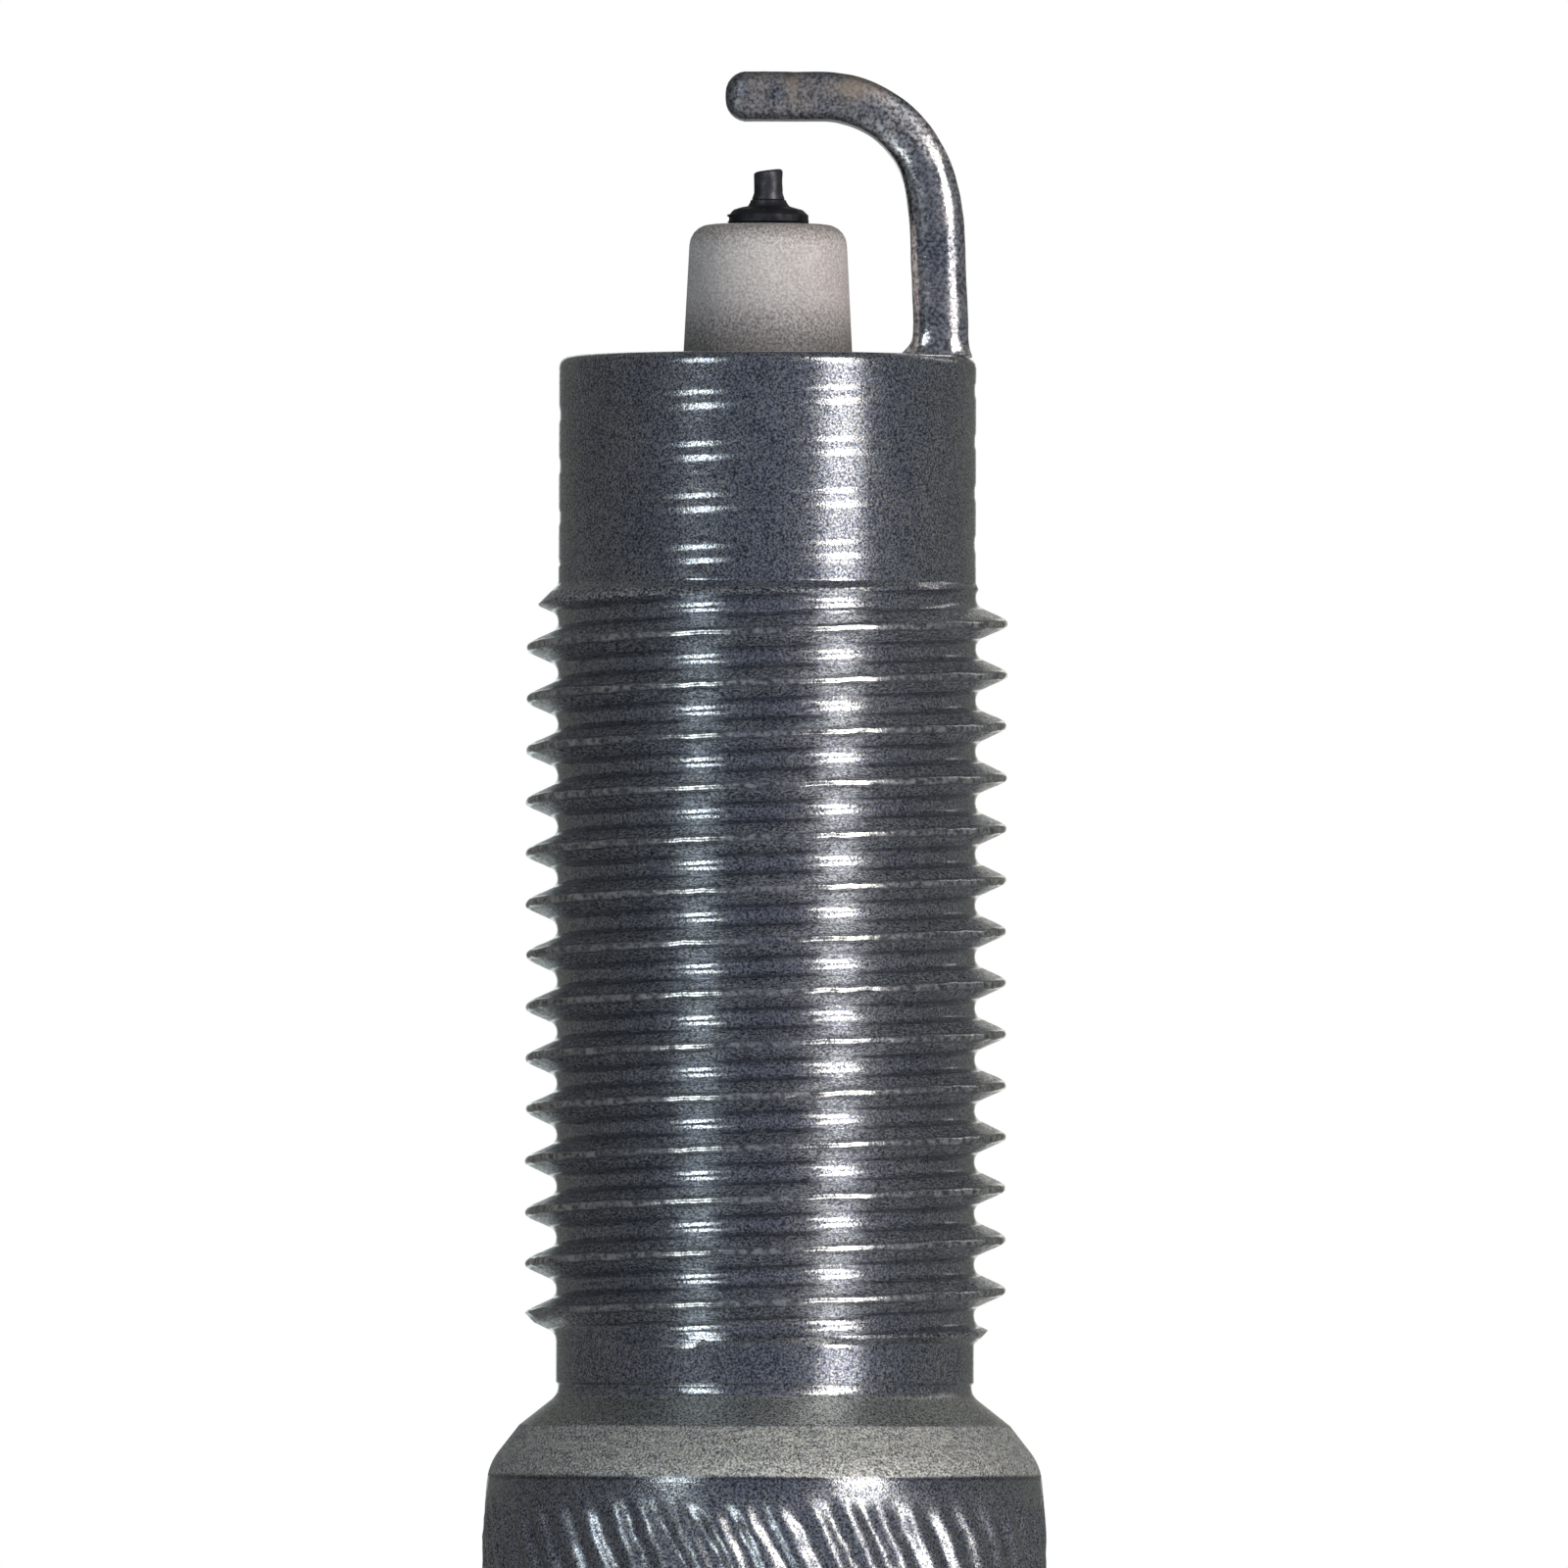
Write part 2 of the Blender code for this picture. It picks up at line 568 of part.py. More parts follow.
def make_core(material):
    """The copper core that carries heat down the centre electrode."""
    radius = core_hole_radius - CORE_CLEARANCE
    front_z = tip_z + SHANK_PROJECTION - CORE_COVER - JOINT_GAP
    points = [(0, front_z), (radius - CORE_CHAMFER, front_z), (radius, front_z - CORE_CHAMFER)]
    points += [(radius, electrode_rear_z), (0, electrode_rear_z)]
    return turned("centre_electrode_core", points, material, CORE_SEGMENTS)


def make_fine_wire(material):
    """The fine wire that the spark jumps from, welded on the centre electrode's cone."""
    base_z = wire_base_z + JOINT_GAP
    points = [(0, base_z), (wire_radius, base_z), (wire_radius, wire_top_z - WIRE_EDGE)]
    points += [(wire_radius - WIRE_EDGE, wire_top_z), (0, wire_top_z)]
    return turned("fine_wire_tip", points, material, WIRE_SEGMENTS)


def make_lower_seal(material):
    """Conductive glass that locks the centre electrode's head into the bore."""
    radius = stack_radius - BORE_CLEARANCE
    hole_radius = stub_radius + JOINT_GAP
    hole_z = electrode_rear_z - JOINT_GAP
    rear_z = resistor_front_z + JOINT_GAP
    points = [(0, hole_z), (hole_radius, hole_z), (hole_radius, seal_front_z), (radius, seal_front_z)]
    points += [(radius, rear_z), (0, rear_z + SEAL_BOW)]
    return turned("lower_glass_seal", points, material, CORE_SEGMENTS)


def make_resistor(material):
    """The carbon and glass resistor between the two seals."""
    radius = stack_radius - BORE_CLEARANCE
    points = [(0, resistor_front_z + SEAL_BOW), (radius, resistor_front_z)]
    points += [(radius, resistor_rear_z), (0, resistor_rear_z - SEAL_BOW)]
    return turned("resistor", points, material, CORE_SEGMENTS)


def make_upper_seal(material):
    """Conductive glass that holds the stud's grooved tip."""
    radius = stack_radius - BORE_CLEARANCE
    front_z = resistor_rear_z - JOINT_GAP
    hole_radius = stud_tip_radius + JOINT_GAP
    hole_z = stud_tip_z + JOINT_GAP
    points = [(0, front_z - SEAL_BOW), (radius, front_z), (radius, upper_seal_rear_z)]
    points += [(hole_radius, upper_seal_rear_z), (hole_radius, hole_z), (0, hole_z)]
    return turned("upper_glass_seal", points, material, CORE_SEGMENTS)


def stud_tip_profile():
    """The grooved tip that the glass grips, from its end back to the shank."""
    tip_radius = stud_tip_radius
    pitch = (stud_tip_z - upper_seal_rear_z) / (STUD_TIP_GROOVES + 1)
    points = [(0, stud_tip_z), (tip_radius - STUD_CHAMFER, stud_tip_z)]
    points.append((tip_radius, stud_tip_z - STUD_CHAMFER))
    for index in range(STUD_TIP_GROOVES):
        groove_z = stud_tip_z - (index + 1) * pitch
        points.append((tip_radius, groove_z + pitch / 4))
        points.append((tip_radius - STUD_GROOVE_DEPTH, groove_z))
        points.append((tip_radius, groove_z - pitch / 4))
    shank_z = upper_seal_rear_z - JOINT_GAP
    points += [(tip_radius, shank_z), (stud_shank_radius, shank_z)]
    return points


def make_stud(material):
    """The steel terminal stud: grooved tip, plain shank and M4 thread."""
    bm = bmesh.new()
    root_radius = STUD_THREAD_DIAMETER / 2 - STUD_THREAD_DEPTH
    thread_front_z = insulator_rear_z - STUD_THREAD_PITCH / 4
    thread_rear_z = stud_end_z + STUD_CHAMFER
    end = skin_chain(bm, [(0, stud_end_z), (root_radius - STUD_CHAMFER, stud_end_z),
                          (root_radius, thread_rear_z)], CORE_SEGMENTS)
    shank = [(root_radius, thread_front_z), (stud_shank_radius, insulator_rear_z)]
    front = skin_chain(bm, shank + stud_tip_profile()[::-1], CORE_SEGMENTS)
    form = (STUD_THREAD_DEPTH, STUD_THREAD_CREST, STUD_THREAD_ROOT)
    start_z = thread_rear_z + STUD_THREAD_ROOT / 4
    helical_thread(bm, end[-1], front[0], start_z, thread_front_z, 0, root_radius,
                   STUD_THREAD_PITCH, form, STUD_THREAD_FADE_TURNS)
    return add_node("terminal_stud", bm, material)


def make_nut(material):
    """The removable terminal nut, closed at its end, with a plain bore over the stud's thread."""
    base_z = insulator_rear_z - JOINT_GAP
    end_z = base_z - NUT_LENGTH
    radius = NUT_DIAMETER / 2
    base_radius = NUT_BASE_DIAMETER / 2
    waist_radius = NUT_WAIST_DIAMETER / 2
    waist_drop = radius - waist_radius
    bore_radius = STUD_THREAD_DIAMETER / 2 + NUT_CLEARANCE
    points = [(0, end_z + NUT_ROOF), (bore_radius, end_z + NUT_ROOF), (bore_radius, base_z)]
    points += [(base_radius - NUT_EDGE, base_z), (base_radius, base_z - NUT_EDGE)]
    points += [(base_radius, base_z - NUT_BASE_HEIGHT + NUT_EDGE)]
    points += [(base_radius - NUT_EDGE, base_z - NUT_BASE_HEIGHT), (radius, base_z - NUT_BASE_HEIGHT)]
    points += [(radius, base_z - NUT_WAIST_START), (waist_radius, base_z - NUT_WAIST_START - waist_drop)]
    points += [(waist_radius, base_z - NUT_WAIST_END + waist_drop), (radius, base_z - NUT_WAIST_END)]
    points += arc((radius - NUT_END_ROUND, end_z + NUT_END_ROUND), NUT_END_ROUND, 0, -90, 4)
    points.append((0, end_z))
    return turned("terminal_nut", points, material)


def make_seat_packing(material):
    """The thin washer between the shell's ledge and the insulator's shoulder."""
    inner = ledge_radius + PACKING_CLEARANCE
    outer = shell_bore_radius - PACKING_CLEARANCE
    near, far = JOINT_GAP, JOINT_GAP + SEAT_PACKING_THICKNESS
    corners = ((inner, near), (outer, near), (outer, far), (inner, far))
    points = [(radius, ledge_line(radius, drop)) for radius, drop in corners]
    return turned("seat_packing_washer", points, material)


def make_wire_ring(name, height, material):
    """A wire ring that closes one end of the talc."""
    points = []
    for step in range(PACKING_SECTION_SEGMENTS):
        angle = 2 * math.pi * step / PACKING_SECTION_SEGMENTS
        out = ring_wire_radius * math.cos(angle)
        points.append((ring_radius + out, height + ring_wire_radius * math.sin(angle)))
    return turned(name, points, material)


def make_talc(material):
    """The pressed talc that seals the insulator in the shell."""
    inner = rear_radius + PACKING_CLEARANCE
    outer = barrel_bore_radius - PACKING_CLEARANCE
    points = [(inner, talc_front_z), (outer, talc_front_z), (outer, talc_rear_z), (inner, talc_rear_z)]
    return turned("talc_ring", points, material)


def build():
    """Clears the scene and makes every piece where it sits in the finished plug."""
    clear_scene()
    make_shell(finish("plated_shell_steel", (0.16, 0.17, 0.20), 0.34, 1.0))
    make_ground_electrode(finish("ground_electrode_alloy", (0.17, 0.17, 0.19), 0.36, 1.0))
    make_insulator(finish("insulator_ceramic", (0.72, 0.69, 0.66), 0.45, 0.0))
    make_centre_electrode(finish("centre_electrode_alloy", (0.05, 0.05, 0.06), 0.45, 1.0))
    make_core(finish("electrode_copper", (0.60, 0.28, 0.18), 0.30, 1.0))
    make_fine_wire(finish("fine_wire_metal", (0.06, 0.06, 0.07), 0.35, 1.0))
    make_lower_seal(finish("lower_seal_glass", (0.20, 0.12, 0.08), 0.30, 0.0))
    make_resistor(finish("resistor_mix", (0.05, 0.05, 0.05), 0.60, 0.0))
    make_upper_seal(finish("upper_seal_glass", (0.24, 0.14, 0.09), 0.30, 0.0))
    make_stud(finish("stud_steel", (0.45, 0.45, 0.46), 0.30, 1.0))
    make_nut(finish("nut_plated_steel", (0.60, 0.60, 0.61), 0.28, 1.0))
    make_seat_packing(finish("packing_washer_steel", (0.40, 0.40, 0.41), 0.40, 1.0))
    lower_steel = finish("lower_ring_steel", (0.38, 0.38, 0.39), 0.40, 1.0)
    make_wire_ring("lower_packing_ring", lower_ring_z, lower_steel)
    make_talc(finish("talc_powder", (0.82, 0.80, 0.76), 0.85, 0.0))
    upper_steel = finish("upper_ring_steel", (0.40, 0.40, 0.41), 0.38, 1.0)
    make_wire_ring("upper_packing_ring", upper_ring_z, upper_steel)


build()
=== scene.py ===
import json
import math

import bmesh
import bpy
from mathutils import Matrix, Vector, noise


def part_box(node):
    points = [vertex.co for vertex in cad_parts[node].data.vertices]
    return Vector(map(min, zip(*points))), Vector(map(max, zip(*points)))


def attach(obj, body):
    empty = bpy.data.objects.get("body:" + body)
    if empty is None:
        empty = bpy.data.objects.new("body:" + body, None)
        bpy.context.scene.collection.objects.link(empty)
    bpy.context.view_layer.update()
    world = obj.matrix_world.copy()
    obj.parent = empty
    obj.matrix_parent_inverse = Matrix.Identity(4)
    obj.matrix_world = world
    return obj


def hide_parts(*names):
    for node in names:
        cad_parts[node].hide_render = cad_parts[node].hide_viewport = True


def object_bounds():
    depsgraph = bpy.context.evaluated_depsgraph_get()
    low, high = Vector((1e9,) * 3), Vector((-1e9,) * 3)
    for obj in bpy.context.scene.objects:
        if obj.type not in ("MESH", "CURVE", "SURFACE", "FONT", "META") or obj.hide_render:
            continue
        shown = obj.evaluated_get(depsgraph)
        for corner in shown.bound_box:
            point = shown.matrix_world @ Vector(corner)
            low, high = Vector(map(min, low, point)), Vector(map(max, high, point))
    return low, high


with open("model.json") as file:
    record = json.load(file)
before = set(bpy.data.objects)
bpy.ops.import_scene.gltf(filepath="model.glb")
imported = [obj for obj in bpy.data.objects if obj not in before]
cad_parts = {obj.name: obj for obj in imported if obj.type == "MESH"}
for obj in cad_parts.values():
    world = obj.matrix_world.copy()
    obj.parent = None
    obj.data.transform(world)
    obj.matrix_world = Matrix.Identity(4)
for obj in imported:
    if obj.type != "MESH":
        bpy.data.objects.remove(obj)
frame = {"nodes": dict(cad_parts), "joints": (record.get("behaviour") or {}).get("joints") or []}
cad_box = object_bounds()

# ---------------------------------------------------------------------------------------------------
# Studio. A long lens one degree below level, a pale floor under the lowest place that the terminal nut
# reaches, and tall soft strip lights. The plated steel mirrors its surroundings, so those are kept dark.
# ---------------------------------------------------------------------------------------------------
mm = 0.001

view_width = 38.20 * mm
aim_point = Vector((0.463, 0.0, 16.07)) * mm
lens_mm = 700.0
sensor_mm = 36.0
camera_drop = math.radians(1.0)
camera_roll = math.radians(-0.17)
camera_distance = view_width * lens_mm / sensor_mm
camera_data = bpy.data.cameras.new("view_camera")
camera_data.lens = lens_mm
camera_data.sensor_width = sensor_mm
camera_data.clip_start = 10 * mm
camera_data.clip_end = 20000 * mm
camera = bpy.data.objects.new("view_camera", camera_data)
bpy.context.scene.collection.objects.link(camera)
camera.location = aim_point + Vector((0.0, -math.cos(camera_drop), -math.sin(camera_drop))) * camera_distance
camera.rotation_euler = (math.radians(90) + camera_drop, camera_roll, 0.0)
bpy.context.scene.camera = camera
bpy.context.scene.view_settings.view_transform = "Standard"

light_centre = Vector((0.0, 0.0, 13.0)) * mm
light_distance = 600 * mm


def strip_light(name, azimuth, low, high, width, radiance, colour):
    """A soft strip at an azimuth from the camera, between two elevations, all in degrees."""
    turn, lift = math.radians(azimuth), math.radians((low + high) / 2)
    away = Vector((math.sin(turn) * math.cos(lift), -math.cos(turn) * math.cos(lift), math.sin(lift)))
    light = bpy.data.lights.new(name, "AREA")
    light.shape = "RECTANGLE"
    light.size = 2 * light_distance * math.tan(math.radians(width / 2))
    light.size_y = 2 * light_distance * math.tan(math.radians((high - low) / 2))
    light.energy = radiance * math.pi * light.size * light.size_y
    light.color = colour
    lamp = bpy.data.objects.new(name, light)
    bpy.context.scene.collection.objects.link(lamp)
    lamp.location = light_centre + away * light_distance
    lamp.rotation_euler = away.to_track_quat("Z", "Y").to_euler()
    lamp.visible_camera = False


cool_light, warm_light = (0.90, 1.0, 0.98), (1.0, 0.96, 0.88)
rose_light, pale_light = (1.0, 0.92, 0.90), (0.93, 0.93, 1.0)
# Each strip's name, azimuth, lowest and highest elevation, width, radiance and colour.
strip_light("left_strip_upper", -39, 12, 38, 12, 3.8, cool_light)
strip_light("left_strip_lower", -39, -40, -12, 12, 4.2, cool_light)
strip_light("right_strip_upper", 42, 8, 46, 15, 7.2, warm_light)
strip_light("right_strip_lower", 42, -46, -8, 15, 6.6, warm_light)
strip_light("right_strip_middle", 42, -7, 7, 23, 1.0, pale_light)
strip_light("rim_strip", 130, 20, 45, 8, 0.9, rose_light)
strip_light("back_strip_left", -174, -25, 25, 8, 1.2, cool_light)
strip_light("back_strip_right", 174, -25, 25, 8, 1.2, warm_light)

world = bpy.data.worlds.new("studio")
bpy.context.scene.world = world
world.use_nodes = True
world_nodes, world_links = world.node_tree.nodes, world.node_tree.links
world_nodes.clear()
world_output = world_nodes.new("ShaderNodeOutputWorld")
world_mix = world_nodes.new("ShaderNodeMixShader")
seen_by_camera = world_nodes.new("ShaderNodeLightPath")
backdrop = world_nodes.new("ShaderNodeBackground")
backdrop.inputs["Color"].default_value = (1.0, 1.0, 1.0, 1.0)
surroundings = world_nodes.new("ShaderNodeBackground")
direction = world_nodes.new("ShaderNodeTexCoord")
direction_parts = world_nodes.new("ShaderNodeSeparateXYZ")
vector_in, from_low, from_high, to_low, to_high = 6, 7, 8, 9, 10
front_tint, back_tint = (0.150, 0.166, 0.205), (0.165, 0.170, 0.160)
surround_tint = world_nodes.new("ShaderNodeMapRange")
surround_tint.data_type = "FLOAT_VECTOR"
surround_tint.inputs[from_low].default_value = (-1.0, -1.0, -1.0)
surround_tint.inputs[from_high].default_value = (0.9, 0.9, 0.9)
surround_tint.inputs[to_low].default_value = front_tint
surround_tint.inputs[to_high].default_value = back_tint
world_links.new(direction.outputs["Generated"], direction_parts.inputs["Vector"])
world_links.new(direction_parts.outputs["Y"], surround_tint.inputs[vector_in])
world_links.new(surround_tint.outputs["Vector"], surroundings.inputs["Color"])
left_shade = world_nodes.new("ShaderNodeMapRange")
for socket, value in (("From Min", -0.95), ("From Max", 0.15), ("To Min", 0.70), ("To Max", 1.05)):
    left_shade.inputs[socket].default_value = value
world_links.new(direction_parts.outputs["X"], left_shade.inputs["Value"])
world_links.new(left_shade.outputs["Result"], surroundings.inputs["Strength"])
world_links.new(seen_by_camera.outputs["Is Camera Ray"], world_mix.inputs["Fac"])
world_links.new(surroundings.outputs["Background"], world_mix.inputs[1])
world_links.new(backdrop.outputs["Background"], world_mix.inputs[2])
world_links.new(world_mix.outputs["Shader"], world_output.inputs["Surface"])

nut_travel = frame["joints"][0]["range_m"][1]
floor_gap = 0.02 * mm
floor_z = cad_box[0][2] - nut_travel - floor_gap
floor_radius = 110 * mm
floor_sides = 96
bpy.ops.object.select_all(action="DESELECT")
bpy.ops.mesh.primitive_circle_add(vertices=floor_sides, radius=floor_radius, fill_type="NGON",
                                  location=(0, 0, floor_z))
floor = bpy.context.object
floor.name = "studio_floor"
floor.visible_glossy = False
floor.visible_shadow = False
floor.visible_diffuse = False
floor_finish = bpy.data.materials.new("pale_floor")
floor_finish.use_nodes = True
floor_shader = floor_finish.node_tree.nodes["Principled BSDF"]
floor_shader.inputs["Base Color"].default_value = (0.86, 0.86, 0.86, 1.0)
floor_shader.inputs["Roughness"].default_value = 0.8
floor.data.materials.append(floor_finish)

# ---------------------------------------------------------------------------------------------------
# Shell. One piece of cold-formed steel, plated a dark blue-grey. Its thread is rolled on, which leaves
# smooth round roots and thin ragged crests, and a faint trace up the nose. The barrel carries a rolled
# band of slanted ribs, and the collar behind the hexagon is crimped over the insulator.
# ---------------------------------------------------------------------------------------------------
turn_steps, small_turn_steps = 160, 72
weld_distance = 0.0005
ring_reach = 0.02
shell_low, shell_high = [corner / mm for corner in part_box("metal_shell")]
reach = shell_high.z
collar_end = shell_low.z
hex_flats = shell_high.y - shell_low.y

thread_pitch = 1.25
thread_root = 5.09
thread_crest = 5.865
root_round = 0.30
crest_round = 0.115
flank_angle = 60.0
thread_low = 2.42
thread_high = 20.92
thread_ragged = 0.030
ragged_from, ragged_depth = 0.5, 0.3
thread_bottom = 1.52
thread_top = 21.34
trace_top = 26.12
trace_depth = 0.027
trace_half = 0.085
trace_step = 0.22
trace_rise = 0.12
nose_radius = 5.085


def deselect_all():
    """Leaves edit mode and deselects every object."""
    if bpy.context.mode != "OBJECT":
        bpy.ops.object.mode_set(mode="OBJECT")
    bpy.ops.object.select_all(action="DESELECT")


def take(piece):
    """Selects a piece alone and makes it active."""
    deselect_all()
    piece.select_set(True)
    bpy.context.view_layer.objects.active = piece


def edit(piece):
    """Opens a piece in edit mode with all of it selected."""
    take(piece)
    bpy.ops.object.mode_set(mode="EDIT")
    bpy.ops.mesh.select_mode(type="VERT")
    bpy.ops.mesh.select_all(action="SELECT")


def place_in_mesh(piece):
    """Moves a piece's place, turn and scale into its mesh."""
    take(piece)
    bpy.ops.object.transform_apply(location=True, rotation=True, scale=True)


def face_outwards(piece):
    """Turns every face of a closed piece outwards."""
    edit(piece)
    bpy.ops.mesh.normals_make_consistent(inside=False)
    deselect_all()


def smooth(piece, degrees=32.0):
    """Shades a piece smooth, apart from edges sharper than an angle."""
    take(piece)
    bpy.ops.object.shade_smooth_by_angle(angle=math.radians(degrees))


def rounded(corners, steps=4):
    """An outline of (radius, height, fillet) corners in millimetres, as a list of (radius, height) points."""
    points = []
    for index, (radius, height, fillet) in enumerate(corners):
        here = Vector((radius, height))
        if fillet == 0 or index in (0, len(corners) - 1):
            points.append(here)
            continue
        back = (Vector(corners[index - 1][:2]) - here).normalized()
        ahead = (Vector(corners[index + 1][:2]) - here).normalized()
        half = back.angle(ahead) / 2
        centre = here + (back + ahead).normalized() * fillet / math.sin(half)
        start = here + back * fillet / math.tan(half) - centre
        sweep = (here + ahead * fillet / math.tan(half) - centre).angle_signed(start)
        for step in range(steps + 1):
            turn = sweep * step / steps
            cosine, sine = math.cos(turn), math.sin(turn)
            turned = Vector((start.x * cosine - start.y * sine, start.x * sine + start.y * cosine))
            points.append(centre + turned)
    return [(point.x, point.y) for point in points]


def draw_outline(name, points):
    """One vertex extruded along a list of (radius, height) points, in the XZ plane."""
    deselect_all()
    bpy.ops.mesh.primitive_plane_add(size=mm, location=(points[0][0] * mm, 0, points[0][1] * mm))
    piece = bpy.context.object
    piece.name = piece.data.name = name
    edit(piece)
    bpy.ops.mesh.merge(type="CENTER")
    for here, after in zip(points, points[1:]):
        move = ((after[0] - here[0]) * mm, 0, (after[1] - here[1]) * mm)
        bpy.ops.mesh.extrude_vertices_move(TRANSFORM_OT_translate={"value": move})
    place_in_mesh(piece)
    return piece


def lathe(name, points, steps=turn_steps):
    """Spins an outline once round the plug's axis and welds its seam and poles."""
    piece = draw_outline(name, points)
    edit(piece)
    bpy.ops.mesh.spin(steps=steps, angle=math.tau, center=(0, 0, 0), axis=(0, 0, 1))
    bpy.ops.mesh.select_all(action="SELECT")
    bpy.ops.mesh.remove_doubles(threshold=weld_distance * mm)
    bpy.ops.mesh.normals_make_consistent(inside=False)
    deselect_all()
    return piece


def thread_outline(pitch, root, crest, root_arc, crest_arc, steps=3, flank_rows=2):
    """One pitch of a rolled thread, from the middle of one root to the middle of the next."""
    rise = []
    for step in range(steps + 1):
        turn = math.radians(flank_angle) * step / steps
        rise.append((root + root_arc * (1 - math.cos(turn)), -pitch / 2 + root_arc * math.sin(turn)))
    flank_start = Vector(rise[-1])
    turn = math.radians(flank_angle)
    flank_end = Vector((crest - crest_arc * (1 - math.cos(turn)), -crest_arc * math.sin(turn)))
    for row in range(1, flank_rows + 1):
        rise.append(tuple(flank_start.lerp(flank_end, row / (flank_rows + 1))))
    for step in range(steps + 1):
        turn = math.radians(flank_angle) * (1 - step / steps)
        rise.append((crest - crest_arc * (1 - math.cos(turn)), -crest_arc * math.sin(turn)))
    return rise + [(radius, -height) for radius, height in reversed(rise[:-1])]


def winding(name, points, pitch, first_turn, turns, steps):
    """Screws a one-pitch outline up the axis as a right-hand helix."""
    piece = draw_outline(name, [(radius, height + first_turn * pitch) for radius, height in points])
    screw = piece.modifiers.new("winding", "SCREW")
    screw.axis = "Z"
    screw.angle = math.tau
    screw.screw_offset = pitch * mm
    screw.iterations = turns
    screw.steps = steps
    screw.render_steps = steps
    bpy.ops.object.modifier_apply(modifier=screw.name)
    edit(piece)
    bpy.ops.mesh.remove_doubles(threshold=weld_distance * mm)
    deselect_all()
    return piece


def chamfer_thread(piece, pitch, root, low, high, ragged):
    """Cuts both thread ends to 45 degree cones, and roughens the crests as rolling leaves them."""
    for vertex in piece.data.vertices:
        x, y, z = vertex.co
        turn = math.atan2(y, x) / math.tau % 1.0
        crest_height = (round(z / mm / pitch - turn) + turn) * pitch
        radius = math.hypot(x, y)
        cone = max(root, root + min(z / mm - low, high - z / mm))
        new_radius = min(radius / mm, cone)
        rise = new_radius - root
        if ragged > 0 and rise > ragged_from:
            along = crest_height / pitch * math.tau
            wave = noise.noise(Vector((math.cos(along) * 3.1, math.sin(along) * 3.1, crest_height * 1.7)))
            nick = noise.noise(Vector((math.cos(along) * 16.0, math.sin(along) * 16.0, crest_height * 3.0)))
            new_radius -= ragged * (0.5 + 0.8 * wave + 0.9 * nick) * (rise - ragged_from) / ragged_depth
            vertex.co.z += ragged * mm * 1.1 * nick
        vertex.co.x *= new_radius * mm / radius
        vertex.co.y *= new_radius * mm / radius


def cut_square(piece, height, keep_above):
    """Cuts a piece square to its axis and drops one side, which leaves an open ring."""
    edit(piece)
    bpy.ops.mesh.bisect(plane_co=(0, 0, height * mm), plane_no=(0, 0, 1), use_fill=False,
                        clear_inner=keep_above, clear_outer=not keep_above, threshold=0.0001 * mm)
    deselect_all()


def join(piece, *others):
    """Joins other meshes into a piece."""
    take(piece)
    for other in others:
        other.select_set(True)
    bpy.ops.object.join()


def bridge_rings(piece, low, high):
    """Joins the two open rings that lie at two heights, in millimetres."""
    low, high = (low - ring_reach) * mm, (high + ring_reach) * mm
    edit(piece)
    bpy.ops.mesh.select_mode(type="EDGE")
    bpy.ops.mesh.select_all(action="DESELECT")
    mesh = bmesh.from_edit_mesh(piece.data)
    for edge in mesh.edges:
        if edge.is_boundary and all(low < vertex.co.z < high for vertex in edge.verts):
            edge.select_set(True)
    bmesh.update_edit_mesh(piece.data)
    bpy.ops.mesh.bridge_edge_loops()
    deselect_all()


one_turn = thread_outline(thread_pitch, thread_root, thread_crest, root_round, crest_round)
shell_thread = winding("shell_thread", one_turn, thread_pitch, first_turn=0, turns=18, steps=turn_steps)
chamfer_thread(shell_thread, thread_pitch, thread_root, thread_low, thread_high, thread_ragged)
cut_square(shell_thread, thread_bottom, keep_above=True)
cut_square(shell_thread, thread_top, keep_above=False)

wall_rows = (-1.25, -1.0, -0.55, 0.0, 0.55, 1.0, 1.25)
trace_outline = [(nose_radius - trace_depth, -thread_pitch / 2)]
for height, share_low, share_high in ((trace_step, 1.0, 0.0), (thread_pitch - trace_rise, 0.0, 1.0)):
    for share in wall_rows:
        blend = max(0.0, min(1.0, (share + 1) / 2))
        blend = blend * blend * (3 - 2 * blend)
        depth = trace_depth * (share_low + (share_high - share_low) * blend)
        trace_outline.append((nose_radius - depth, height + trace_half * share - thread_pitch / 2))
trace_outline.append((nose_radius - trace_depth, thread_pitch / 2))
shell_nose = winding("shell_nose", trace_outline, thread_pitch, first_turn=16, turns=6, steps=turn_steps)
nose_start = thread_top + 0.05
cut_square(shell_nose, nose_start, keep_above=True)
cut_square(shell_nose, trace_top, keep_above=False)

band_top, band_bottom = -0.95, -4.75
barrel_radius, barrel_end = 6.875, -9.0
seam = 0.03
nose_end = reach - seam
cavity_radius, cavity_floor = 3.635, 15.985
ledge_radius, ledge_top, ledge_end = 3.15, 15.5, 13.9
bore_radius, bore_top, bore_end = 3.8, 13.525, -1.5
talc_radius, talc_top = 5.825, -3.525
lip_radius, lip_z = 5.05, -20.17
collar_radius = 7.05
hex_top, hex_end = -11.2, -19.2
bore_outline = [
    (nose_radius, trace_top + seam, 0), (nose_radius, nose_end, 0.26), (cavity_radius, nose_end, 0.12),
    (cavity_radius, cavity_floor, 0.1), (ledge_radius, ledge_top, 0.1), (ledge_radius, ledge_end, 0.1),
    (bore_radius, bore_top, 0.1), (bore_radius, bore_end, 0.1), (talc_radius, talc_top, 0.2),
    (talc_radius, lip_z, 0.45), (lip_radius, lip_z, 0.12), (lip_radius, collar_end, 0.25),
    (collar_radius, collar_end, 1.55), (collar_radius, hex_end, 0.12),
]
hex_blank, hex_inset = 9.13, 7.75
chamfer_drop = (hex_blank - hex_inset) * math.tan(math.radians(30))
groove_radius, groove_bulge = 6.375, 6.6
